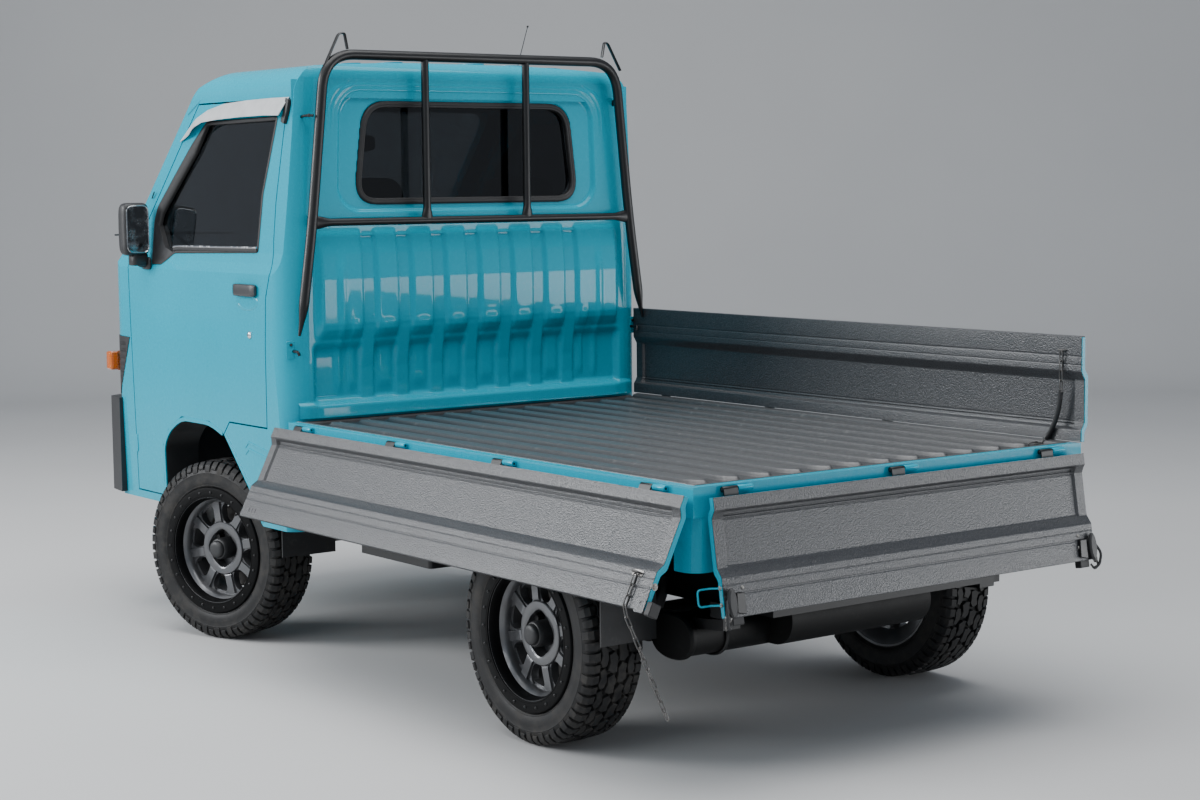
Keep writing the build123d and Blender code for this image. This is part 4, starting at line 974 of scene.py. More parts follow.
class TruckGates(bpy.types.Operator):
    """Drop-side gates: a stepped outer skin whose ends show as a ribbon, a coated inner face."""

    bl_idname = "truck.gates"
    bl_label = "Gates"

    def execute(self, context):
        # Section in millimetres: height above the pin, then thickness in the recess and in the
        # flange at the gate's ends, minus toward the bed
        inner = np.array([(16, -26, -26), (46, -26, -26), (48, -23, -25), (52, -9, -22),
                          (58, -7.5, -18), (60, -5.6, -17), (62, -5.6, -16), (64, -7.5, -15),
                          (66, -7.5, -14), (68, -5.6, -13), (70, -5.6, -13), (73, -6.5, -13),
                          (181, -6.5, -13), (186, -9, -13.4), (204, -23.5, -24), (209, -26, -26),
                          (224, -26, -26), (226, -25, -25), (228, -26, -26), (246, -26, -26),
                          (248, -25, -25), (251, -25, -25), (253, -26, -26),
                          (304, -26, -26)]) / 1000
        outer = np.array([(-13, 303), (-13, 214), (0, 196), (0, 60), (-13, 40), (-13, 16)]) / 1000
        flange = 0.034
        sections, linings = [], []
        for column in (1, 2):
            face = inner[:, (column, 0)]
            back = face + [0.0008, 0]
            back[-1, 1] = 0.3030
            sections.append(softened(np.concatenate([back, outer]), [0.001] * len(inner)
                                     + [0.003, 0.006, 0.006, 0.006, 0.006, 0.002]))
            edge = [[-0.0255, 0.3046], [-0.0125, 0.3046], [-0.0122, 0.298]]
            linings.append(ribbon(np.concatenate([bent(face, 0.0012, 3), edge]), 0.0009))
        for name, (half, _) in GATES.items():
            matrix = gate_frame(name, OPENED[name])
            body = joints["gate_swing_" + name]["child"]
            barrel = turned([(0.0028, 0.001), (0.0066, 0.001), (0.0071, 0.0018), (0.0071, 0.0462),
                             (0.0066, 0.047), (0.0028, 0.047)], 20)
            pin = shifted(round_head(0.0027, 0.0016, 12), (0, 0, 0.0466))
            leaf = plate([(-0.0071, 0.0), (-0.0035, 0.0), (-0.0035, 0.034), (-0.0071, 0.034)],
                         0.001, 0.047, 0.0006)
            hinge = joined([barrel, pin, leaf])
            barrels = [shifted(hinge, (0, 0, place)) for place in hinge_places(name)]
            skin = ended(*sections, half, flange, 0.006, 0.0006)
            piece(f"gate_{name}_skin", moved(skin, matrix), body, "paint",
                  ["gate_" + name], smooth=40)
            lined = ended(*linings, half - 0.002, flange - 0.002, 0.006)
            piece(f"gate_{name}_lining", moved(lined, matrix), body, "bedliner", smooth=40)
            piece(f"gate_{name}_hinges", moved(joined(barrels), matrix), body, "black_steel")
        return {"FINISHED"}


class TruckRails(bpy.types.Operator):
    """Rail side of the hinges: rolled barrels with their leaves, and the ends of the pins."""

    bl_idname = "truck.rails"
    bl_label = "Rail hinges"

    def execute(self, context):
        barrel = turned([(0.003, -0.0475), (0.0072, -0.0475), (0.0077, -0.0465), (0.0077, -0.0018),
                         (0.0072, -0.001), (0.003, -0.001)], 20)
        flap = plate([(-0.0074, -0.0075), (0.0, -0.0078), (0.0, -0.0052), (-0.0074, -0.0044)],
                     -0.0475, -0.001, 0.0005)
        hole = turned([(0.0, -0.0478), (0.0029, -0.0478), (0.0029, -0.044), (0.0, -0.044)], 14)
        hinge = joined([barrel, flap])
        shapes, dark = [], []
        for name in GATES:
            matrix = gate_frame(name, 0.0)
            for place in hinge_places(name):
                shapes.append(moved(shifted(hinge, (0, 0, place)), matrix))
                dark.append(moved(shifted(hole, (0, 0, place)), matrix))
        piece("rail_hinges", joined(shapes), "truck", "paint")
        piece("rail_pins", joined(dark), "truck", "black_steel")
        return {"FINISHED"}


# Outer length and width of a chain's link
LINK = (0.0338, 0.0132)


def chain_links(path, links, wire_radius, turn=0.0):
    """Links laid end to end along a path; every second one is turned a quarter about the path."""
    length, width = LINK
    path = np.asarray(path, float)
    runs = np.linalg.norm(np.diff(path, axis=0), axis=1)
    total = np.concatenate([[0], np.cumsum(runs)])
    pitch = length - 4 * wire_radius
    angle = circle(20)
    straight = length / 2 - width / 2
    oval = np.stack([np.sign(np.cos(angle)) * straight + (width / 2 - wire_radius) * np.cos(angle),
                     (width / 2 - wire_radius) * np.sin(angle), 0 * angle], -1)
    link = wire(oval, wire_radius, 8, closed=True)
    shapes = []
    for number in range(links):
        ends = [np.array([np.interp(place * pitch, total, path[:, k]) for k in range(3)])
                for place in (number, number + 1)]
        direction = Vector(ends[1] - ends[0]).normalized()
        flat = direction.cross(Vector((cos(turn), sin(turn), 0.05))).normalized()
        normal = flat if number % 2 else direction.cross(flat)
        shapes.append(placed(link, (ends[0] + ends[1]) / 2, direction, normal))
    return joined(shapes)


class TruckChains(bpy.types.Operator):
    """Gate chains: one hangs over the open left gate, one runs down to the bed in a sleeve."""

    bl_idname = "truck.chains"
    bl_label = "Gate chains"

    def execute(self, context):
        thick = sizes().chain_wire / 2
        # Over the staple, out over the gate's edge and down along its outer skin
        left = [(-1.5534, 0.8265, 0.5476), (-1.5534, 0.8612, 0.4745), (-1.5590, 0.8620, 0.4570),
                (-1.6534, 0.8150, 0.2190)]
        links = chain_links(left, 14, thick)
        gate = gate_frame("left", OPENED["left"])
        place = at(50) - joints["gate_swing_left"]["pos_m"][0]
        staple = wire(bent([(-0.026, 0.219, place - 0.011), (-0.041, 0.219, place - 0.011),
                            (-0.041, 0.219, place + 0.011), (-0.026, 0.219, place + 0.011)],
                           0.008), 0.0026, 10)
        foot = plate(rounded_outline(0.04, 0.016, 0.004), 0, 0.002, 0.0005)
        foot = placed(foot, (-0.0262, 0.219, place), (0, 0, 1), (-1, 0, 0))
        piece("chain_left_links", links, "gate_left", "chain_steel", ["chain_left"])
        piece("chain_left_staple", moved(joined([staple, foot]), gate), "gate_left", "chain_steel")

        y = -0.6637
        right = [(at(52), y, 0.996), (at(52), y, 0.868)]
        links = chain_links(right, 5, thick, 1.5)
        low = chain_links([(at(97), y, 0.764), (at(104), y + 0.012, 0.741),
                           (at(112), y + 0.05, 0.738)], 3, thick, 0.3)
        hook = wire(bent([(at(40), -0.6775, 1.0), (at(40), y, 1.0), (at(64), y, 1.0),
                          (at(64), -0.6775, 1.0)], 0.008), 0.0028, 10)
        body = joints["gate_swing_right"]["child"]
        piece("chain_right_links", joined([links, low]), body, "chain_steel", ["chain_right"])
        piece("chain_right_staple", hook, body, "chain_steel")
        t = np.linspace(0, 1, 16)[:, None]
        a, b, c = (np.array(v) for v in ((at(52), y, 0.884), (at(56), y, 0.81),
                                         (at(100), y + 0.002, 0.752)))
        sleeve = curve(a, b, c, t)
        piece("chain_right_sleeve", wire(sleeve, 0.0068, 14), body, "black_rubber")
        return {"FINISHED"}


class TruckGateFittings(bpy.types.Operator):
    """Corner brackets, rubber blocks, latch levers, wire keeper and bolts of the gates."""

    bl_idname = "truck.gate_fittings"
    bl_label = "Gate fittings"

    def execute(self, context):
        # Left gate: its rear end is at minus the half length
        left = gate_frame("left", OPENED["left"])
        rear = -GATES["left"][0]
        corner = plate(softened([(0.0, 0.262), (0.0, 0.312), (0.034, 0.312), (0.042, 0.284),
                                 (0.036, 0.262)], 0.004), 0, 0.0028, 0.0006)
        hole = plate(rounded_outline(0.0062, 0.0062, 0.003, 5), 0, 0.0006)
        flip = Matrix(((0, 0, -1, -0.0272), (0, 1, 0, 0), (1, 0, 0, rear - 0.0015), (0, 0, 0, 1)))
        washer = turned([(0, 0), (0.0088, 0), (0.0088, 0.0014), (0, 0.0014)], 18)
        bolts = placed(joined([bolt(0.0062, 0.005), washer]), (-0.0195, 0.243, rear),
                       (0, 1, 0), (0, 0, -1))
        slots = [moved(shifted(hole, (0.019, 0.287, 0.0028)), flip)]
        for place in (0.045, 0.064, 0.083):
            slots.append(placed(plate(rounded_outline(0.0045, 0.015, 0.002), 0, 0.0006),
                                (-0.0268, 0.282, -rear - place), (0, 0, 1), (-1, 0, 0)))
        rubber = shifted(block((0.030, 0.034, 0.020)), (-0.012, 0.297, rear - 0.0125))
        for part, shape, slot, look in (
                ("bracket", moved(corner, flip), "black_steel", "bedliner"),
                ("bolts", bolts, "black_steel", "zinc"),
                ("slots", joined(slots), "black_rubber", None),
                ("buffer", rubber, "black_rubber", None)):
            piece("gate_left_" + part, moved(shape, left), "gate_left", slot, look=look)

        # Rear gate: fittings at both ends
        body = joints["gate_swing_rear"]["child"]
        rear_gate = gate_frame("rear", OPENED["rear"])
        half = GATES["rear"][0]
        # Out of the end face, behind the closed side gate, then outward
        corners = [(-0.0195, -0.004), (-0.0195, 0.004), (0.0165, 0.004), (0.0165, 0.042)]
        path = [(x, 0.231, half + z) for x, z in corners]
        path += [(x, 0.272, half + z) for x, z in corners[::-1]]
        keeper = wire(bent(path, 0.011, 6), 0.0024, 10)
        nuts = [placed(bolt(0.0055, 0.005), (-0.0195, height, half), (0, 1, 0), (0, 0, 1))
                for height in (0.231, 0.272)]
        levers, boxes, pads, clasps = [], [], [], []
        for side in (1, -1):
            end = side * half
            for height in (0.236, 0.268):
                nuts.append(placed(round_head(0.0046, 0.003), (-0.0272, height, end - side * 0.062),
                                   (0, 1, 0), (-1, 0, 0)))
            oval = np.stack([0.014 * np.cos(circle(28)), 0.037 * np.sin(circle(28))], -1)
            levers.append(placed(plate(oval, 0, 0.013, 0.004), (-0.030, 0.270, end - side * 0.018),
                                 (0, 0, 1), (-1, 0, 0)))
            levers.append(wire(bent([(-0.034, 0.262, end - side * 0.006),
                                     (-0.044, 0.29, end + side * 0.006),
                                     (-0.036, 0.322, end + side * 0.002),
                                     (-0.026, 0.33, end - side * 0.012)], 0.012, 6), 0.0038, 10))
            case = softened([(-0.012, -0.026), (0.013, -0.026), (0.016, 0.02), (-0.012, 0.026)],
                            0.003)
            boxes.append(placed(plate(case, 0, 0.0085, 0.0012),
                                (-0.0268, 0.274, end - side * 0.050), (0, 0, 1), (-1, 0, 0)))
            pads.append(shifted(block((0.022, 0.024, 0.036)), (-0.014, 0.3125, end - side * 0.042)))
            clasps.append(wire(bent([(-0.031, 0.300, end - side * 0.006),
                                     (-0.031, 0.322, end + side * 0.004),
                                     (-0.022, 0.334, end - side * 0.002),
                                     (-0.018, 0.318, end - side * 0.012)], 0.009, 6), 0.003, 10))
            clasps.append(placed(turned([(0, 0), (0.008, 0), (0.0095, 0.002), (0.0095, 0.007),
                                         (0.006, 0.0095), (0, 0.0095)], 20),
                                 (-0.0265, 0.305, end - side * 0.008),
                                 (0, 1, 0), (-1, 0, 0.6 * side)))
        for part, shape, slot, look, stands_for in (
                ("keeper", keeper, "paint", None, ()),
                ("nuts", joined(nuts), "black_steel", "zinc", ()),
                ("levers", joined(levers), "black_plastic", None, ["gate_latches"]),
                ("cases", joined(boxes), "black_steel", None, ()),
                ("buffers", joined(pads), "black_rubber", None, ()),
                ("clasps", joined(clasps), "chain_steel", None, ())):
            piece("gate_rear_" + part, moved(shape, rear_gate), body, slot, stands_for, look)
        return {"FINISHED"}


def shaped_distance(y, z, outline, radius):
    """Signed distance from a convex outline with rounded corners, minus inside: the outline is
    moved inward by the radius and the distance from it less the radius is taken."""
    core = inset(np.asarray(outline, float), radius)
    inside = np.full(y.shape, -1e9)
    near = np.full(y.shape, 1e9)
    for a, b in zip(core, np.roll(core, -1, 0)):
        run = b - a
        length = np.hypot(*run)
        normal = np.array([run[1], -run[0]]) / length
        offset_y, offset_z = y - a[0], z - a[1]
        inside = np.maximum(inside, offset_y * normal[0] + offset_z * normal[1])
        t = np.clip((offset_y * run[0] + offset_z * run[1]) / length ** 2, 0, 1)
        near = np.minimum(near, np.hypot(offset_y - t * run[0], offset_z - t * run[1]))
    return np.where(inside > 0, near, inside) - radius


# Rear window's opening in y and z, and the place along X of the cab's rear wall
WINDOW = [(-0.432, 1.411), (0.432, 1.411), (0.394, 1.727), (-0.394, 1.727)]
BACK = at(1955)


class TruckBack(bpy.types.Operator):
    """Cab's rear wall: a reclining bulge with grooves that bend under it to the base, and steps
    round the window."""

    bl_idname = "truck.back"
    bl_label = "Cab back"

    def execute(self, context):
        across = np.linspace(-0.646, 0.646, 324)
        height = np.linspace(0.752, 1.792, 270)
        y, z = np.meshgrid(across, height)
        # Bulge: proud of the wall by a section in height, within a rounded outline in y and z
        section_z = [0.75, 0.786, 0.812, 0.94, 0.965, 0.985, 1.005, 1.022, 1.040, 1.07, 1.18, 1.26,
                     1.322, 1.333]
        section_x = [0.003, 0.001, -0.0178, -0.0185, -0.0165, -0.005, 0.009, 0.018, 0.0215, 0.0225,
                     0.0225, 0.0165, 0.0052, 0.0]
        proud = np.interp(z, section_z, section_x)
        area = shaped_distance(y, z, [(-0.588, 0.70), (0.588, 0.70), (0.586, 1.334),
                                      (-0.586, 1.334)], 0.032)
        bulge = ease(-area, -0.004, 0.022)
        recess_area = shaped_distance(y, z, [(-0.598, 0.70), (0.598, 0.70), (0.598, 0.995),
                                             (-0.598, 0.995)], 0.03)
        below = ease(-recess_area, 0.0, 0.02) * ease(z, 1.0, 0.95)
        depth = np.where(proud > 0, proud * bulge, proud * below)
        # Grooves: seven, each with rounded edges, from a dark pocket at the top to the base
        pitch, centre = 0.1300, 0.0075
        offset = np.abs(y - centre - pitch * np.round((y - centre) / pitch))
        inner = np.abs(y - centre) < 3.5 * pitch
        hollow = ease(offset, 0.033, 0.019) * inner
        run = ease(z, 1.332, 1.300) * (1 - ease(z, 0.865, 0.820))
        pocket = np.exp(-((z - 1.316) / 0.012) ** 2) * ease(offset, 0.031, 0.017) * inner
        depth = depth - (0.0055 + 0.005 * ease(z, 0.965, 1.0)) * hollow * run - 0.0025 * pocket
        straight = np.interp(z, [0.75, 0.786, 0.804, 0.84, 0.90, 0.96, 1.02, 1.06],
                             [0.003, 0.001, -0.0105, -0.0115, -0.009, -0.001, 0.0085, 0.012])
        depth = depth + np.maximum(straight - depth, 0) * hollow * (z < 1.06)
        # Ribs between the grooves bend the bulge's lower edge
        crest = ease(offset, 0.030, 0.052) * inner
        depth = depth + 0.004 * crest * np.exp(-((z - 1.02) / 0.03) ** 2)
        depth = depth + 0.0045 * crest * ease(z, 0.815, 0.86) * ease(z, 0.985, 0.94)
        # Side flutes beyond the grooves
        flute = np.exp(-((np.abs(y) - 0.498) / 0.012) ** 2) * ease(z, 1.26, 1.2) * ease(
            z, 0.80, 0.86)
        depth = depth + 0.005 * flute
        # Window panel set in, with three fading steps over it
        panel = shaped_distance(y, z, [(-0.504, 1.383), (0.504, 1.383), (0.490, 1.762),
                                       (-0.490, 1.762)], 0.085)
        depth = depth - 0.0107 * ease(-panel, 0.0, 0.014)
        above = ease(z, 1.60, 1.74)
        for place in (0.020, 0.036):
            depth = depth + 0.0022 * np.exp(-((panel - place) / 0.0045) ** 2) * above
        depth = depth - 0.003 * ease(panel, 0.044, 0.058) * above
        # Base flange, and the border drawn under the surrounding panels
        depth = depth + 0.010 * ease(z, 0.803, 0.790)
        border = np.maximum(ease(np.abs(y), 0.606, 0.644), ease(z, 1.764, 1.790))
        rounding = 0.084 - np.sqrt(np.maximum(0.084 ** 2 - np.maximum(np.abs(y) - 0.611, 0) ** 2,
                                              0))
        lift = 0.0016 * (1 - border) - 0.0016 * border
        points = np.stack([BACK - depth - lift + rounding, y, z], -1)
        corners, faces = rows_to_faces(points)
        middle = 0.25 * (points[:-1, :-1] + points[1:, :-1] + points[1:, 1:] + points[:-1, 1:])
        outside = shaped_distance(middle[..., 1], middle[..., 2], WINDOW, 0.075).ravel() > 0.004
        faces = [face for face, keep in zip(faces, outside) if keep]
        piece("cab_back_pressing", (corners, faces), "truck", "paint", smooth=60)
        return {"FINISHED"}


def hoop(outline, section, place):
    """Section of inward distance and depth carried round a closed outline; place turns a flat
    outline and a depth into points."""
    return rows_to_faces(np.array([place(inset(outline, amount) if amount else outline, depth)
                                   for amount, depth in section]), ring=True, tube=True)


class TruckWindows(bpy.types.Operator):
    """Rear window's rubber and the two studs over it."""

    bl_idname = "truck.windows"
    bl_label = "Rear window rubber"

    def execute(self, context):
        outline = softened([(-0.4355, 1.4075), (0.4355, 1.4075), (0.3965, 1.7305),
                            (-0.3965, 1.7305)], 0.088, 9)
        section = [(0.0, -0.004), (0.0, 0.004), (0.002, 0.0075), (0.006, 0.0095), (0.011, 0.0092),
                   (0.0125, 0.0078), (0.0140, 0.0084), (0.0175, 0.0078), (0.0200, 0.0050),
                   (0.0205, -0.008), (0.016, -0.010)]
        start = BACK + 0.0115

        def place(loop, depth):
            return np.column_stack([np.full(len(loop), start - depth), loop])

        piece("rear_window_rubber", hoop(outline, section, place), "truck", "black_rubber",
              ["window_seal"])
        studs = [placed(round_head(0.0062, 0.0052, 14), (BACK + 0.0095, y, 1.7475), (0, 1, 0),
                        (-1, 0, 0)) for y in (0.325, -0.29)]
        piece("rear_window_studs", joined(studs), "truck", "paint")
        return {"FINISHED"}


class TruckGuard(bpy.types.Operator):
    """Guard behind the window: a bent hoop with drawn-out feet, a rail, two bars, rope hooks and
    brackets."""

    bl_idname = "truck.guard"
    bl_label = "Window guard"

    def execute(self, context):
        x = at(1914)
        hoop_path = bent([(x, 0.6655, 1.012), (x, 0.6505, 1.085), (x, 0.611, 1.356),
                          (x, 0.557, 1.868), (x, -0.557, 1.868), (x, -0.611, 1.356),
                          (x, -0.6505, 1.085), (x, -0.6655, 1.012)], 0.105, 12)
        radius = 0.0162 * (0.26 + 0.72 * ease(hoop_path[:, 2], 1.010, 1.115))
        frame_tube = wire(hoop_path, radius, 20)
        rail_y = np.concatenate([np.linspace(-0.606, -0.54, 8), np.linspace(-0.5, 0.5, 9),
                                 np.linspace(0.54, 0.606, 8)])
        flare = ease(np.abs(rail_y), 0.545, 0.603)
        angle = circle(18)
        across = 0.0122 * (1 - 0.30 * flare)
        tall = 0.0122 * (1 + 0.75 * flare)
        rail = np.stack([x + across[:, None] * np.cos(angle), rail_y[:, None] + 0 * angle,
                         1.356 + tall[:, None] * np.sin(angle)], -1)
        parts = [frame_tube, capped(rail)]
        for y in (0.196, -0.191):
            z = np.concatenate([np.linspace(1.360, 1.40, 8), np.linspace(1.43, 1.82, 6),
                                np.linspace(1.835, 1.866, 5)])
            flare = ease(z, 1.404, 1.366)
            wide = 0.0125 * (1 + 0.60 * flare)
            thin = 0.0120 * (1 - 0.15 * flare)
            points = np.stack([x + thin[:, None] * np.cos(angle), y + wide[:, None] * np.sin(angle),
                               z[:, None] + 0 * angle], -1)
            parts.append(capped(points))
        # Rope hooks: flat bars that rise from the top tube and bend back down
        for y, lean in ((0.492, 1), (-0.519, -1)):
            path = bent([(x, y + lean * 0.060, 1.842), (x + 0.002, y + lean * 0.012, 1.930),
                         (x, y - lean * 0.006, 1.934), (x, y - lean * 0.016, 1.884)], 0.010, 6)
            points, faces = wire(path, 0.0034, 8)
            points[:, 0] = x + (points[:, 0] - x) * 2.2
            parts.append((points, faces))
        piece("guard_tubes", joined(parts), "truck", "black_steel",
              ["guard_frame", "guard_rail", "guard_bars"], smooth=40)
        # Brackets between the hoop and the cab
        arms = []
        for y, z, drop in ((0.600, 1.681, 1), (-0.560, 1.742, 0)):
            side = 1 if y > 0 else -1
            path = bent([(x, y, z), (x + 0.022, y + side * 0.018, z),
                         (x + 0.050, y + side * 0.018, z - 0.004),
                         (x + 0.050, y + side * 0.018, z - 0.014 - 0.026 * drop)], 0.008, 5)
            points, faces = wire(path, 0.0042, 8)
            points[:, 2] = z + (points[:, 2] - z) * (1.0 if drop else 2.6)
            arms.append((points, faces))
            arms.append(placed(bolt(0.0062, 0.005), (x + 0.001, y + side * 0.016, z), (0, 0, 1),
                               (-1, 0, 0)))
        piece("guard_brackets", joined(arms), "truck", "black_steel")
        return {"FINISHED"}


def metres(outline):
    """Corners in millimetres, forward of the bed's rear face and up, as metres in x and z."""
    return np.array([(at(x), z / 1000) for x, z in outline])


def side_y(z):
    """Distance of the cab's side from the centre line at a height."""
    return np.interp(z, [0.400, 0.965, 1.196, 1.228, 1.262, 1.740],
                     [0.681, 0.695, 0.694, 0.683, 0.676, 0.640])


def on_side(path, side, depth=0.0):
    """Points of the cab's side above a path in x and z, or proud of it by a depth."""
    return np.stack([path[:, 0], side * (side_y(path[:, 1]) + depth), path[:, 1]], -1)


def side_strip(path, width, thickness, side):
    """Flat bar with rounded edges laid on the cab's side along a path in x and z."""
    path = np.asarray(path, float)
    normal = normals(path)
    corners = [(-0.5, -0.004), (-0.5, thickness * 0.5), (-0.42, thickness * 0.92),
               (-0.25, thickness), (0.25, thickness), (0.42, thickness * 0.92),
               (0.5, thickness * 0.5), (0.5, -0.004)]
    return capped(np.stack([on_side(path + normal * (width * across), side, depth)
                            for across, depth in corners], 1))


def dense(path, step=0.02):
    """Path with points added so that none of its steps is longer than the step."""
    path = np.asarray(path, float)
    out = [path[:1]]
    for a, b in zip(path[:-1], path[1:]):
        count = max(1, int(np.ceil(np.linalg.norm(b - a) / step)))
        out.append(a + (b - a) * (np.arange(1, count + 1) / count)[:, None])
    return np.concatenate(out)


# Outlines on the cab's side in millimetres, forward of the bed's rear face and above the ground
DOOR_WINDOW = [(2144, 1264), (2128, 1442), (2055, 1680), (2526, 1676), (2626, 1593), (2740, 1494),
               (2850, 1395), (2868, 1350), (2866, 1213), (2798, 1213), (2716, 1252)]
VISOR_EDGES = ([(1983, 1739), (2100, 1740), (2260, 1738), (2412, 1732), (2520, 1716), (2596, 1692),
                (2650, 1660), (2706, 1622)],
               [(2003, 1683), (2100, 1686), (2260, 1685), (2412, 1681), (2510, 1675), (2562, 1661),
                (2620, 1636), (2700, 1616)])


class TruckDoorTrim(bpy.types.Operator):
    """Door trim: window channel, belt strip, corner sail, handle, lock, rain visor and mirror."""

    bl_idname = "truck.door_trim"
    bl_label = "Door trim"

    def execute(self, context):
        for name, side in (("left", 1), ("right", -1)):
            body = joints["door_swing_" + name]["child"]
            loop = softened(metres(DOOR_WINDOW), 0.012, 4)
            # Channel: a black frame from the opening's edge to the glass
            reach = np.where((loop[:, 0] > at(2560)) & (loop[:, 1] > 1.26), 0.030, 0.010)
            rows = []
            inward = inset(loop, 0.010) - loop
            if signed_area(loop) < 0:
                inward = -inward
            for part, depth in ((-0.35, 0.0006), (-0.1, 0.0022), (0.3, 0.0024), (0.9, 0.0006),
                                (1.0, -0.003), (1.0, -0.012)):
                rows.append(on_side(loop + inward * (reach / 0.010 * part)[:, None], side, depth))
            channel = rows_to_faces(np.array(rows), ring=True)
            piece(f"door_channel_{name}", channel, body, "black_rubber", smooth=50)
            # Corner sail that carries the mirror
            sail = softened(metres([(2868, 1213), (2868, 1352), (2846, 1352), (2790, 1270),
                                    (2724, 1252), (2798, 1213)]), 0.01, 4)
            faces = np.array([on_side(sail, side, -0.014), on_side(sail, side, 0.0022)])
            piece(f"door_sail_{name}", capped(faces), body, "black_plastic")
            # Belt strip with a bright line along its upper edge
            belt = dense([(at(2146), 1.2725), (at(2420), 1.270), (at(2700), 1.2685),
                          (at(2722), 1.2655)], 0.03)
            piece(f"door_belt_{name}", side_strip(belt, 0.0175, 0.0055, side), body,
                  "black_rubber", smooth=50)
            line = belt + [0, 0.0052]
            piece(f"door_line_{name}", side_strip(line, 0.0062, 0.0072, side), body,
                  "visor_plastic", look="chrome", smooth=50)
            # Handle: curved lever over a shallow dished recess, lock cylinder in front of it
            grip = at(2191)
            section = np.linspace(-pi / 2, 1.5 * pi, 18, endpoint=False)
            rows = []
            for t in np.linspace(-1, 1, 15):
                taper = (1 - abs(t) ** 7) ** 0.5
                tall = 0.0195 * (0.80 + 0.20 * taper) * (1.0 if abs(t) < 0.99 else 0.9)
                deep = 0.0105 * (0.35 + 0.65 * taper)
                rows.append(np.stack([
                    grip + 0.0705 * t + 0 * section,
                    side * (0.6968 + deep * power(np.sin(section), 0.55) + 0.006),
                    1.1445 + tall * power(np.cos(section), 0.45)], -1))
            piece(f"door_handle_{name}", capped(np.array(rows)), body, "black_plastic",
                  ["door_fittings_" + name], look="grey_handle", smooth=50)
            grid_u, grid_v = np.meshgrid(np.linspace(-1, 1, 33), np.linspace(-1, 1, 21))
            lip = np.hypot(grid_u, grid_v)
            rise = (0.0022 * np.exp(-((np.clip(lip, 0, 1.3) - 0.86) / 0.10) ** 2)
                    - 0.0016 * ease(lip, 0.94, 1.06))
            dish = np.stack([grip + 0.074 * grid_u,
                             side * (side_y(1.108 + 0.028 * grid_v) + rise + 0.0004),
                             1.108 + 0.028 * grid_v], -1)
            piece(f"door_dish_{name}", rows_to_faces(dish), body, "paint", smooth=70)
            lock = turned([(0, 0.0055), (0.0065, 0.0055), (0.0082, 0.0045), (0.0105, 0.003),
                           (0.0118, 0.0012), (0.0118, -0.004), (0, -0.004)], 28)
            slot_bar = shifted(block((0.0012, 0.007, 0.0012), 0.0004, 0.0003), (0, 0, 0.0056))
            place = frame_matrix((at(2176), side * 0.6955, 1.004), (0, 0, 1), (0, side, 0))
            piece(f"door_lock_{name}", moved(lock, place), body, "visor_plastic", look="chrome")
            piece(f"door_lock_slot_{name}", moved(slot_bar, place), body, "black_plastic")

            # Rain visor: a bowed strip over the window, its lower edge standing off the glass
            t = np.linspace(0, 1, 48)
            upper, lower = [np.stack([np.interp(t, np.linspace(0, 1, len(edge)), row)
                                      for row in np.array(edge, float).T], -1) / 1000
                            for edge in VISOR_EDGES]
            narrow = 1 - 0.75 * ease(t, 0.7, 1.0)
            rows = []
            for s, stand in ((0.0, 0.0015), (0.06, 0.0052), (0.2, 0.0100), (0.45, 0.0165),
                             (0.75, 0.0235), (0.96, 0.0285), (1.0, 0.0283), (1.0, 0.0262),
                             (0.75, 0.0212), (0.45, 0.0142), (0.2, 0.0075), (0.06, 0.0028)):
                where = upper + (lower - upper) * s
                rows.append(np.stack([at(0) + where[:, 0],
                                      side * (np.interp(where[:, 1], [1.60, 1.740],
                                                        [0.6505, 0.640]) + stand * narrow),
                                      where[:, 1]], -1))
            visor = capped(np.array(rows).transpose(1, 0, 2))
            piece(f"rain_visor_shell_{name}", visor, body, "visor_plastic",
                  ["rain_visor_" + name], smooth=50)
            cap = side_strip(dense([(at(1983), 1.733), (at(1992), 1.700), (at(2008), 1.662)], 0.01),
                             0.024, 0.012, side)
            piece(f"rain_visor_end_{name}", cap, body, "black_rubber")

            # Mirror: rounded housing, glass toward the rear, foot on the door
            post = at(2888)
            reach = 0.790 if name == "left" else 0.826
            middle = Vector((post, side * (reach - 0.048), 1.3285))
            v = np.linspace(-pi / 2, pi / 2, 18)[:, None]
            w = circle(48)[None]
            shell_x = 0.030 * power(np.sin(v), 0.62) + 0 * w
            shell_y = 0.048 * power(np.cos(v), 0.34) * power(np.cos(w), 0.34)
            shell_z = 0.0885 * power(np.cos(v), 0.34) * power(np.sin(w), 0.26)
            shell = np.stack([middle.x + shell_x - 0.004 * (shell_z / 0.09) ** 2,
                              middle.y + side * shell_y, middle.z + shell_z], -1)
            arm = wire(bent([(post, side * 0.690, 1.211), (post, side * (reach - 0.062), 1.211),
                             (post, side * (reach - 0.058), 1.262)], 0.02, 6), 0.0125, 14)
            foot = placed(block((0.062, 0.042, 0.010), 0.012, 0.003), (post, side * 0.699, 1.213),
                          (1, 0, 0), (0, side, 0))
            collar = shifted(block((0.048, 0.058, 0.040), 0.013, 0.004),
                             (post, side * (reach - 0.062), 1.226))
            piece(f"mirror_shell_{name}", joined([capped(shell), arm, foot, collar]), body,
                  "black_plastic", smooth=50)
            face = softened([(-0.040, -0.079), (0.040, -0.079), (0.040, 0.079), (-0.040, 0.079)],
                            0.022, 6)
            rim = [raised(loop, level) for loop, level in ((face, -0.005), (face, 0.0012),
                                                           (inset(face, 0.0012), 0.002),
                                                           (inset(face, 0.0032), 0.0004))]
            glass_at = frame_matrix((middle.x - 0.0338, middle.y, middle.z), (0, 1, 0), (-1, 0, 0))
            piece(f"mirror_glass_{name}", moved(capped(np.array(rim)), glass_at), body,
                  "chain_steel", look="mirror", smooth=30)
        return {"FINISHED"}


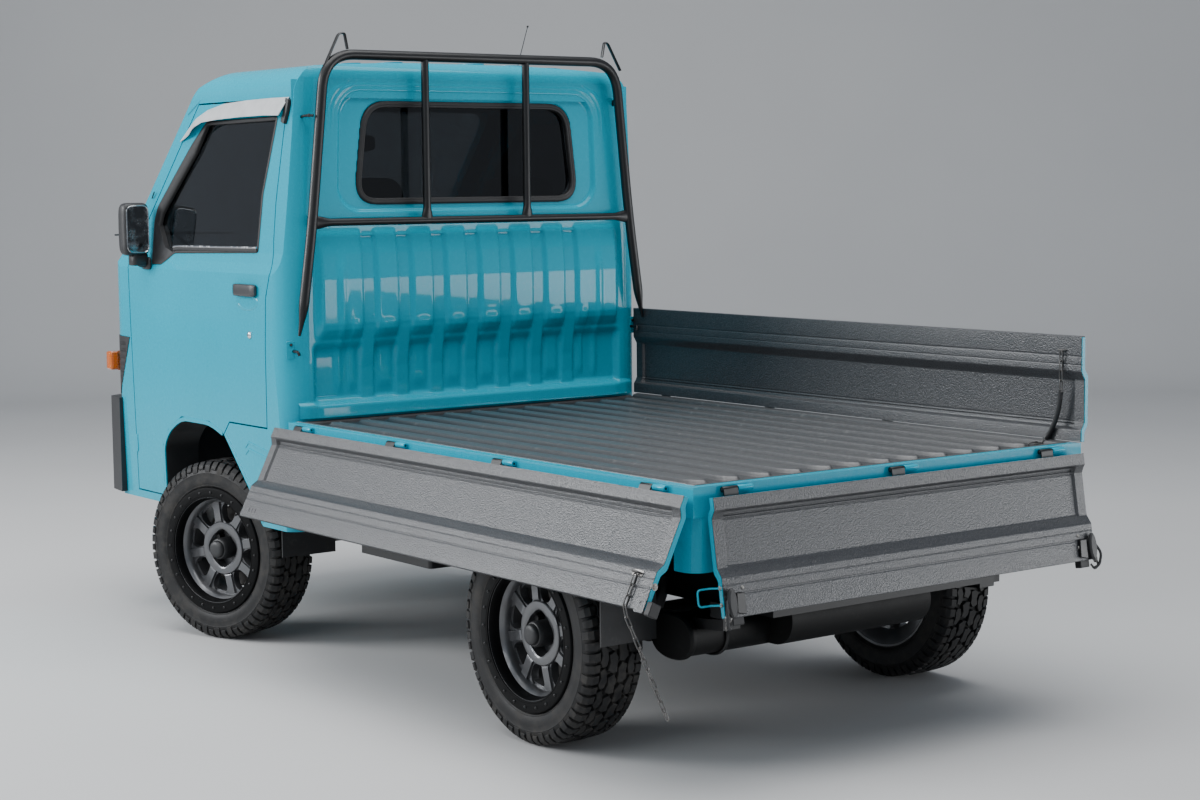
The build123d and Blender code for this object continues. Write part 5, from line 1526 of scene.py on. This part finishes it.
class TruckSeams(bpy.types.Operator):
    """Cab's gutters, quarter panel lines, pillar breaks, front wheel arches and gate keepers."""

    bl_idname = "truck.seams"
    bl_label = "Cab seams"

    def execute(self, context):
        dark, rails = [], []
        for side in (1, -1):
            # Gutter from the pillar over the door, then down behind the door's rear edge
            path = dense([(at(2660), 1.706), (at(2560), 1.758), (at(2440), 1.782),
                          (at(2300), 1.795), (at(2100), 1.803), (at(1985), 1.802)], 0.03)
            y = np.interp(path[:, 1], [1.70, 1.740, 1.762, 1.785, 1.81],
                          [0.643, 0.640, 0.634, 0.620, 0.596])
            line = np.stack([path[:, 0], side * y, path[:, 1]], -1)
            rails.append(wire(line, 0.0036, 8))
            down = np.array([(1983, 1.801, 0.603), (1958, 1.780, 0.617), (1952, 1.740, 0.634),
                             (1956, 1.690, 0.641)], float)
            down = np.stack([at(0) + down[:, 0] / 1000 + 0.012, side * (down[:, 2] + 0.002),
                             down[:, 1]], -1)
            dark.append(wire(bent(down, 0.02, 5), 0.0022, 8))
            # Stamped lines of the lower quarter panel
            for rise in (0.0, 0.022):
                quarter = dense([(at(1972), 0.600 + rise), (at(2215), 0.640 + rise),
                                 (at(2238), 0.622 + rise)], 0.03)
                rails.append(side_strip(quarter, 0.007, 0.0018, side))
            # Break in the windscreen pillar
            dark.append(wire([(at(2872), side * 0.6700, 1.452), (at(2884), side * 0.6690, 1.441),
                              (at(2896), side * 0.667, 1.431)], 0.0022, 8))
        piece("cab_gutters", joined(rails), "truck", "paint", smooth=50)
        piece("cab_seams", joined(dark), "truck", "black_rubber")
        # Front wheel arches: a rounded painted lip, a black lining of the door's deep edge
        door_edge = [(2815, 432), (2815, 600), (2770, 650), (2680, 695), (2480, 695), (2391, 668)]
        cab_edge = [(2378, 672), (2205, 490), (2152, 407)]
        for name, side in (("left", 1), ("right", -1)):
            for owner, body, edge in (("door", "door_" + name, door_edge),
                                      ("cab", "truck", cab_edge)):
                line = dense(bent(metres(edge), 1.0, 9), 0.02)
                inward = normals(line)
                lip = side_strip(line - inward * 0.0065, 0.014, 0.0014, side)
                piece(f"arch_lip_{owner}_{name}", lip, body, "paint", smooth=50)
                if owner == "door":
                    near, far = side_y(line[:, 1]) - 0.0035, 0.561
                    deep = []
                    for depth, y in ((0.0012, far), (0.0012, near), (-0.003, near), (-0.003, far)):
                        x, z = (line + inward * depth).T
                        deep.append(np.stack(np.broadcast_arrays(x, side * y, z), -1))
                    piece(f"arch_lining_{name}", capped(np.stack(deep, 1)), body, "black_plastic")
            wall = shifted(block((0.716, 0.0014, 0.226), 0.002, 0.0003),
                           (at(2491), side * 0.3389, 0.5905))
            front = shifted(block((0.0014, 0.222, 0.219), 0.002, 0.0003),
                            (at(2848) - 0.0009, side * 0.452, 0.588))
            piece(f"wheel_house_{name}", joined([wall, front]), "truck", "black_plastic")
        # Keepers for the side gates on the cab's rear corners
        keepers, pins = [], []
        for y, z in ((0.690, 0.966), (-0.679, 0.983)):
            side = 1 if y > 0 else -1
            strap = plate(softened([(-0.013, -0.028), (0.013, -0.028), (0.013, 0.028),
                                    (-0.013, 0.028)], 0.005), 0, 0.003, 0.001)
            keepers.append(placed(strap, (BACK + 0.018, side * 0.6655, z), (0, 1, 0),
                                  (-1, side * 0.35, 0)))
            pins.append(placed(bolt(0.005, 0.004), (BACK + 0.0145, side * 0.665, z + 0.016),
                               (0, 1, 0), (-1, 0, 0)))
            pins.append(wire(bent([(BACK + 0.012, side * 0.657, z - 0.004),
                                   (BACK - 0.006, side * 0.660, z - 0.004),
                                   (BACK - 0.020, side * 0.660, z - 0.004),
                                   (BACK - 0.022, side * 0.656, z - 0.016)], 0.008, 5), 0.0046, 10))
        piece("gate_keepers", joined(keepers), "truck", "paint")
        piece("gate_keeper_pins", joined(pins), "truck", "black_steel")
        return {"FINISHED"}


class TruckFloor(bpy.types.Operator):
    """Bed floor: a sheet with long rounded ribs, fixing screws, drain plugs and clips."""

    bl_idname = "truck.floor"
    bl_label = "Bed floor"

    def execute(self, context):
        x = np.concatenate([[at(27.2), at(27.6)], np.linspace(at(29), at(1949), 300)])
        y = np.concatenate([np.linspace(-0.6735, 0.6615, 330), [0.6627, 0.6631]])
        gx, gy = np.meshgrid(x, y, indexing="ij")
        pitch = 0.104
        offset = np.abs(gy - pitch * (np.round(gy / pitch - 0.5) + 0.5))
        inside = np.abs(gy) < 6 * pitch
        # A rib's half width shrinks to a round nose at both ends
        ahead = np.minimum(gx - at(96), at(1889) - gx)
        nose = np.sqrt(np.clip(ahead / 0.062, 0, 1) * (2 - np.clip(ahead / 0.062, 0, 1)))
        half = 0.0305 * nose
        rise = ease(half - offset, 0.0, 0.0075) * (ahead > 0) * inside
        height = 0.7340 + 0.0102 * rise
        edge = np.minimum(0.6535 - np.abs(gy), gx - at(36))
        height = height + 0.0132 * ease(edge, 0.012, -0.001)
        height = height + 0.010 * ease(at(1949) - gx, 0.014, 0.0) * (edge > 0.012)
        height = height - 0.0011 * ((gx < at(27.4)) | (gy > 0.6629))
        height = height + 0.0018 * ease(-gy, 0.659, 0.664)
        # Shallow dimples between the ribs near the rear, in the middle and near the front
        for place in (140, 1010, 1850):
            for row in range(-5, 6, 2):
                away = (gx - at(place)) ** 2 + (gy - row * pitch) ** 2
                height = height - 0.0016 * np.exp(-away / 0.012 ** 2)
        piece("bed_floor_sheet", rows_to_faces(np.stack([gx, gy, height], -1)), "truck", "bedliner",
              look="bed_coating", smooth=60)
        screws = [shifted(round_head(0.0058, 0.0036), (at(place), row * pitch, z))
                  for places, rows, z in (((56, 1928), range(-5, 6), 0.7346),
                                          ((450, 930, 1410, 1700), (-4, 0, 4), 0.7342))
                  for place in places for row in rows]
        piece("bed_floor_screws", joined(screws), "truck", "black_steel", look="zinc")
        plug = turned([(0, 0.0045), (0.009, 0.0045), (0.0105, 0.0035), (0.0125, 0.0035),
                       (0.0145, 0.002), (0.0150, 0), (0, 0)], 24)
        plugs = [shifted(plug, (at(place), row * pitch, 0.7342))
                 for place, row in ((1790, 3), (1790, -3), (250, 4.6), (250, -4.6))]
        piece("bed_floor_plugs", joined(plugs), "truck", "black_rubber")
        # Base clips along the cab's back and the front edge of the bed
        clips = [shifted(block((0.010, 0.018, 0.012), 0.002, 0.0015),
                         (BACK - 0.004, -0.56 + k * 0.14, 0.757)) for k in range(9)]
        piece("bed_clips", joined(clips), "truck", "black_plastic")
        return {"FINISHED"}


def leaned(place, degrees):
    """Matrix of a turn about Y by an angle in degrees, then a move to a place."""
    return Matrix.Translation(place) @ Matrix.Rotation(radians(degrees), 4, "Y")


def superform(size, flat_top, flat_plan, rows=26, columns=48):
    """Rounded block: x, y and z are powers of the sines and cosines of two angles."""
    v = np.linspace(-pi / 2, pi / 2, rows)[:, None]
    w = circle(columns)[None]
    points = np.stack([size[0] / 2 * power(np.cos(v), flat_top) * power(np.cos(w), flat_plan),
                       size[1] / 2 * power(np.cos(v), flat_top) * power(np.sin(w), flat_plan),
                       size[2] / 2 * power(np.sin(v), flat_top) + 0 * w], -1)
    return capped(points[1:-1])


class TruckSeats(bpy.types.Operator):
    """Two seats: crowned cushions and backs with sewn channels, head rests on posts."""

    bl_idname = "truck.seats"
    bl_label = "Seats"

    def execute(self, context):
        for name, y in (("left", 0.30), ("right", -0.30)):
            # Cushion and back: crowned top, channels across, welt round the edge
            for part, size, matrix in (
                    ("cushion", (0.47, 0.47, 0.13), leaned((at(2480), y, 0.792), -5)),
                    ("back", (0.50, 0.46, 0.12), leaned((at(2178), y, 1.055), -78))):
                v = np.linspace(-pi / 2, pi / 2, 40)[:, None]
                w = circle(96)[None]
                px = size[0] / 2 * power(np.cos(v), 0.34) * power(np.cos(w), 0.36)
                py = size[1] / 2 * power(np.cos(v), 0.34) * power(np.sin(w), 0.36)
                pz = size[2] / 2 * power(np.sin(v), 0.55) + 0 * w
                crown = 0.016 * (1 - (2 * px / size[0]) ** 2) * (1 - (2 * py / size[1]) ** 2)
                bolster = 0.014 * ease(np.abs(py), 0.13, 0.20)
                groove = 0.0
                for row in (-0.14, -0.07, 0.0, 0.07, 0.14):
                    groove = groove + np.exp(-((px - row) / 0.0045) ** 2) * (np.abs(py) < 0.150)
                seam = np.exp(-((np.abs(py) - 0.152) / 0.004) ** 2)
                up = (np.sin(v) > 0) * ease(np.sin(v), 0.15, 0.6)
                pz = pz + up * (crown + bolster - 0.0085 * groove - 0.007 * seam)
                welt = np.exp(-(np.sin(v) / 0.045) ** 2) * 0.004
                px, py = px * (1 + welt / 0.2), py * (1 + welt / 0.2)
                shape = capped(np.stack([px, py, pz], -1)[1:-1])
                made = piece(f"seat_{part}_{name}", moved(shape, matrix), "truck", "seat_fabric",
                             ["seats"] if part == "cushion" and name == "left" else (), smooth=80)
            rest = superform((0.24, 0.27, 0.085), 0.5, 0.4)
            rest = moved(rest, leaned((at(2112), y, 1.372), -80))
            made = piece(f"seat_rest_{name}", rest, "truck", "seat_fabric", smooth=80)
            posts = [wire([(at(2128), y + side * 0.06, 1.25), (at(2118), y + side * 0.06, 1.33)],
                          0.006, 12) for side in (1, -1)]
            base = shifted(block((0.44, 0.43, 0.03), 0.03, 0.006), (at(2470), y, 0.728))
            piece(f"seat_base_{name}", joined(posts + [base]), "truck", "black_plastic")
        return {"FINISHED"}


class TruckCabin(bpy.types.Operator):
    """Steering wheel with a ribbed rim, instrument hood, vents, levers, pedals and mirror."""

    bl_idname = "truck.cabin"
    bl_label = "Cabin fittings"

    def execute(self, context):
        joint = joints["steering_wheel_turn"]
        centre = Vector(joint["pos_m"])
        axis = Vector(joint["axis"])
        if axis.z < 0:
            axis = -axis
        matrix = frame_matrix(centre, (0, 1, 0), axis)
        t = circle(96)
        rim = wire(polar(0.165, t, 0.0), 0.0135 + 0.0008 * np.cos(24 * t), 16, closed=True)
        hub = turned([(0, 0.010), (0.03, 0.010), (0.048, 0.006), (0.056, -0.004), (0.054, -0.020),
                      (0.030, -0.036), (0, -0.036)], 40)
        path = bent([(0.040, 0, -0.010), (0.10, 0, -0.012), (0.160, 0, 0.0)], 0.03, 6)
        spoke = wire(path, [0.013] * 4 + [0.011] * (len(path) - 4), 12, flat=0.55)
        spokes = [moved(spoke, Matrix.Rotation(radians(turn), 4, "Z")) for turn in (0, 180, 270)]
        piece("steering_wheel_rim", moved(joined([rim, hub] + spokes), matrix), joint["child"],
              "grey_plastic", ["steering_wheel"], smooth=50)
        # Instrument hood ahead of the wheel, vents, levers, pedals and mirror
        hood = moved(superform((0.18, 0.34, 0.12), 0.5, 0.45), leaned((at(3060), -0.3, 1.165), 18))
        slat = block((0.004, 0.11, 0.006), 0.0015, 0.001)
        vents = [shifted(slat, (at(2957) + 0.004 * k, y, 1.012 + 0.012 * k))
                 for y in (-0.50, -0.08, 0.10, 0.50) for k in range(5)]
        lever = wire([(at(2700), 0.03, 0.72), (at(2690), 0.02, 0.86), (at(2684), 0.02, 0.90)],
                     0.007, 12)
        knob = superform((0.042, 0.042, 0.052), 0.8, 0.9, 14, 24)
        knob = shifted(knob, (at(2684), 0.02, 0.915))
        boot = turned([(0.075, 0.712), (0.072, 0.722), (0.055, 0.732), (0.05, 0.740),
                       (0.035, 0.752), (0.03, 0.760), (0.012, 0.79), (0, 0.79), (0, 0.712)], 30)
        boot = shifted(boot, (at(2697), 0.028, 0))
        brake = wire([(at(2420), 0.0, 0.75), (at(2520), 0.0, 0.80), (at(2610), 0.0, 0.85)], 0.010,
                     12)
        pedals = []
        for y in (-0.40, -0.30, -0.21):
            pedals.append(moved(block((0.010, 0.055 if y < -0.22 else 0.045, 0.06), 0.006, 0.003),
                                leaned((at(3010), y, 0.60), -35)))
            pedals.append(wire(bent([(at(3016), y, 0.60), (at(3060), y, 0.70), (at(3060), y, 0.82)],
                                    0.03, 5), 0.006, 10))
        mirror = superform((0.03, 0.21, 0.062), 0.5, 0.4)
        mirror = shifted(mirror, (at(2720), 0, 1.615))
        stem = wire([(at(2735), 0, 1.64), (at(2755), 0, 1.70)], 0.006, 10)
        piece("dash_hood", hood, "truck", "grey_plastic", smooth=60)
        piece("dash_vents", joined(vents + [lever, knob, boot, brake, mirror, stem]), "truck",
              "black_plastic", smooth=50)
        piece("pedals", joined(pedals), "truck", "black_rubber")
        return {"FINISHED"}


class TruckFront(bpy.types.Operator):
    """Front: wipers, grille slats, lamp bezels and bowls, turn signals, bumper slots and a bare
    plate."""

    bl_idname = "truck.front"
    bl_label = "Front fittings"

    def execute(self, context):
        wipers = []
        for y in (0.28, -0.34):
            foot = Vector((at(3222), y, 1.176))
            blade_mid = Vector((at(3105), y + 0.20, 1.305))
            bend = foot + (blade_mid - foot) * 0.3 + Vector((0.012, 0, 0.012))
            wipers.append(wire([foot, bend, blade_mid], [0.008, 0.006, 0.0045], 10))
            along = Vector((0.1, 0.86, 0.0)).normalized()
            wipers.append(wire([blade_mid - along * 0.22, blade_mid + Vector((0.004, 0, 0.004)),
                                blade_mid + along * 0.22], [0.003, 0.006, 0.003], 8))
            wipers.append(placed(round_head(0.014, 0.012, 16), foot, (0, 1, 0), (0.6, 0, 0.8)))
        piece("wipers", joined(wipers), "truck", "black_plastic")
        grille = []
        slats = [(0.80 + 0.026 * k, 0.37, 3257, 0.0065, 0.5) for k in range(4)]
        for z, half, front, radius, flat in slats + [(0.775, 0.39, 3256, 0.008, 1.0),
                                                     (0.905, 0.39, 3256, 0.008, 1.0)]:
            t = np.linspace(-half, half, 13)
            path = np.stack([at(front) - 0.010 * (t / 0.37) ** 2, t, z + 0 * t], -1)
            grille.append(wire(path, radius, 8, flat=flat))
        piece("grille", joined(grille), "truck", "black_plastic")
        bezels, bowls = [], []
        section = [(0, 0.0), (0, 0.004), (0.002, 0.006), (0.007, 0.006), (0.009, 0.002),
                   (0.009, -0.004), (0, -0.004)]
        bezel = hoop(rounded_outline(0.19, 0.125, 0.03, 6), section, raised)
        bowl = turned([(0, 0.004), (0.012, 0.0035), (0.03, 0.0005), (0.044, -0.001),
                       (0.052, 0.0022), (0.054, 0.003), (0.054, -0.004), (0, -0.004)], 40)
        for side in (1, -1):
            for shapes, shape, place in ((bezels, bezel, 3247), (bowls, bowl, 3250)):
                shapes.append(placed(shape, (at(place), side * 0.505, 0.8365), (0, side, 0),
                                     (1, side * 0.12, 0)))
        piece("lamp_bezels", joined(bezels), "truck", "lamp_glass", look="chrome")
        piece("lamp_bowls", joined(bowls), "truck", "lamp_glass")
        # Turn signals stand off the rounded corners
        signals = [shifted(block((0.044, 0.070, 0.064), 0.010, 0.005),
                           (at(3194), side * 0.673, 0.866)) for side in (1, -1)]
        piece("turn_signal_lenses", joined(signals), "truck", "amber_lens")
        slots = [placed(plate(rounded_outline(0.22, 0.026, 0.012), 0, 0.003, 0.001),
                        (at(3286), y, 0.50), (0, 1, 0), (1, 0, 0))
                 for y in (-0.42, -0.14, 0.14, 0.42)]
        plate_back = placed(plate(rounded_outline(0.34, 0.17, 0.008), 0, 0.003, 0.001),
                            (at(3287.5), 0.0, 0.60), (0, 1, 0), (1, 0, 0))
        piece("bumper_slots", joined(slots), "truck", "black_rubber")
        piece("plate_front", plate_back, "truck", "visor_plastic")
        return {"FINISHED"}


class TruckUnder(bpy.types.Operator):
    """Underbody: silencer with rolled seams, spring clamps, dampers, brake hoses and bolts."""

    bl_idname = "truck.under"
    bl_label = "Underbody fittings"

    def execute(self, context):
        parts = []
        # Silencer: stadium section carried across with rolled end seams
        y = np.array([-0.312, -0.306, -0.300, -0.294, -0.288, 0.0, 0.496, 0.502, 0.508,
                      0.514, 0.520])
        grow = np.array([0.0, 0.0045, 0.0045, 0.0, -0.001, -0.001, -0.001, 0.0, 0.0045,
                         0.0045, 0.0])
        angle = circle(40)

        def stadium(half_x, place, half_z):
            """Section across the silencer: cosine and sine, each to the power 0.85."""
            return np.stack([at(300) + half_x * power(np.cos(angle), 0.85), 0 * angle + place,
                             0.318 + half_z * power(np.sin(angle), 0.85)], -1)

        rows = [stadium(0.0800 + more, place, 0.0555 + more) for place, more in zip(y, grow)]
        piece("silencer_shell", capped(np.array(rows)), "truck", "exhaust_steel", smooth=50)
        for y0 in (-0.20, 0.05, 0.40):
            parts.append(wire(stadium(0.0825, y0, 0.058), 0.0045, 8, closed=True))
        # Spring clamps with their nuts, dampers and bolts on both sides of the rear axle
        for side in (1, -1):
            for offset in (-0.045, 0.045):
                x0 = at(650) + offset
                path = bent([(x0, side * 0.488, 0.215), (x0, side * 0.488, 0.335),
                             (x0, side * 0.432, 0.335), (x0, side * 0.432, 0.215)], 0.02, 5)
                parts.append(wire(path, 0.006, 10))
                for yy in (0.488, 0.432):
                    parts.append(placed(bolt(0.0105, 0.010), (x0, side * yy, 0.228), (1, 0, 0),
                                        (0, 0, -1)))
            absorber = wire([(at(560), side * 0.40, 0.26), (at(500), side * 0.38, 0.44)], 0.026, 20)
            rod = wire([(at(500), side * 0.38, 0.43), (at(470), side * 0.37, 0.54)], 0.011, 14)
            parts += [absorber, rod]
            for x0 in (300, 420):
                parts.append(placed(bolt(0.008, 0.006), (at(x0), side * 0.352, 0.42), (1, 0, 0),
                                    (0, side, 0)))
        piece("spring_clamps", joined(parts), "truck", "black_steel")
        hoses = [wire(bent([(at(x0), side * y0, z0) for x0, y0, z0 in path], 0.04, 6), 0.0055, 10)
                 for side in (1, -1) for path in (
                     [(760, 0.33, 0.47), (720, 0.36, 0.40), (670, 0.40, 0.36), (655, 0.50, 0.33)],
                     [(2440, 0.36, 0.52), (2470, 0.42, 0.46), (2480, 0.49, 0.40)])]
        piece("brake_hoses", joined(hoses), "truck", "black_rubber")
        bolts = []
        for side in (1, -1):
            for k in range(4):
                place = (at(325), side * (0.55 + 0.05 * k), 0.528)
                bolts.append(placed(round_head(0.007, 0.004), place, (0, 1, 0), (-1, 0, 0)))
            for x0 in (1320, 1410, 1500, 1590, 1680):
                bolts.append(placed(round_head(0.0065, 0.004), (at(x0), side * 0.6195, 0.585),
                                    (1, 0, 0), (0, side, 0)))
        piece("under_bolts", joined(bolts), "truck", "black_steel", look="zinc")
        return {"FINISHED"}


class TruckAerial(bpy.types.Operator):
    """Whip aerial: tapering rod with a ball tip on a ribbed foot."""

    bl_idname = "truck.aerial"
    bl_label = "Aerial"

    def execute(self, context):
        low = Vector((at(2790), -0.676, 1.560))
        high = Vector((at(2497), -0.616, 2.027))
        run = high - low
        ahead = run.normalized()
        t = np.linspace(0, 1, 14)
        sag = np.sin(t * pi) * 0.004
        path = np.array(low) + np.array(run) * t[:, None] + np.stack([sag, 0 * t, sag], -1)
        rod = wire(path, 0.0024 - 0.0012 * t, 10)
        ball = shifted(superform((0.008, 0.008, 0.008), 1, 1, 10, 14), high - ahead * 0.003)
        foot = wire([low + ahead * place for place in (-0.008, 0.010, 0.030, 0.060, 0.070)],
                    [0.0065, 0.0075, 0.0068, 0.0055, 0.003], 16)
        ring = turned([(0.0072, -0.0012), (0.0080, 0), (0.0072, 0.0012)], 18)
        spring = [placed(ring, low + ahead * (0.012 + 0.009 * k), (0, 1, 0), run)
                  for k in range(5)]
        boss = placed(turned([(0, 0.012), (0.007, 0.012), (0.009, 0.010), (0.010, 0),
                              (0.010, -0.018), (0, -0.018)], 20),
                      (low.x - 0.004, -0.672, low.z + 0.012), (1, 0, 0), (0, -1, 0))
        piece("aerial_whip", joined([rod, ball, foot, boss] + spring), "truck",
              "black_steel", ["aerial"])
        return {"FINISHED"}


# Panel
OPERATORS = [TruckStage, TruckFinishes, TruckTyres, TruckRims, TruckGates, TruckRails, TruckChains,
             TruckGateFittings, TruckBack, TruckWindows, TruckGuard, TruckDoorTrim, TruckSeams,
             TruckFloor, TruckSeats, TruckCabin, TruckFront, TruckUnder, TruckAerial]


class TruckPanel(bpy.types.Panel):
    """Lists the truck's pieces, sizes and colours."""

    bl_idname = "VIEW3D_PT_truck"
    bl_label = "Kei truck"
    bl_space_type = "VIEW_3D"
    bl_region_type = "UI"
    bl_category = "Kei truck"

    def draw(self, context):
        layout = self.layout
        for group in (context.scene.truck_paint, context.scene.truck_sizes):
            column = layout.column(align=True)
            for key in group.bl_rna.properties.keys():
                if key not in ("rna_type", "name"):
                    column.prop(group, key)
        column = layout.column(align=True)
        for operator in OPERATORS:
            column.operator(operator.bl_idname)


CLASSES = [TruckPaint, TruckSizes, *OPERATORS, TruckPanel]


def register():
    for kind in CLASSES:
        bpy.utils.register_class(kind)
    bpy.types.Scene.truck_paint = bpy.props.PointerProperty(type=TruckPaint)
    bpy.types.Scene.truck_sizes = bpy.props.PointerProperty(type=TruckSizes)


def unregister():
    del bpy.types.Scene.truck_sizes
    del bpy.types.Scene.truck_paint
    for kind in reversed(CLASSES):
        bpy.utils.unregister_class(kind)


def main():
    register()
    bpy.ops.truck.stage()
    bpy.ops.truck.finishes()
    bpy.ops.truck.tyres()
    bpy.ops.truck.rims()
    bpy.ops.truck.gates()
    bpy.ops.truck.rails()
    bpy.ops.truck.chains()
    bpy.ops.truck.gate_fittings()
    bpy.ops.truck.back()
    bpy.ops.truck.windows()
    bpy.ops.truck.guard()
    bpy.ops.truck.door_trim()
    bpy.ops.truck.seams()
    bpy.ops.truck.floor()
    bpy.ops.truck.seats()
    bpy.ops.truck.cabin()
    bpy.ops.truck.front()
    bpy.ops.truck.under()
    bpy.ops.truck.aerial()


if __name__ == "__main__":
    main()
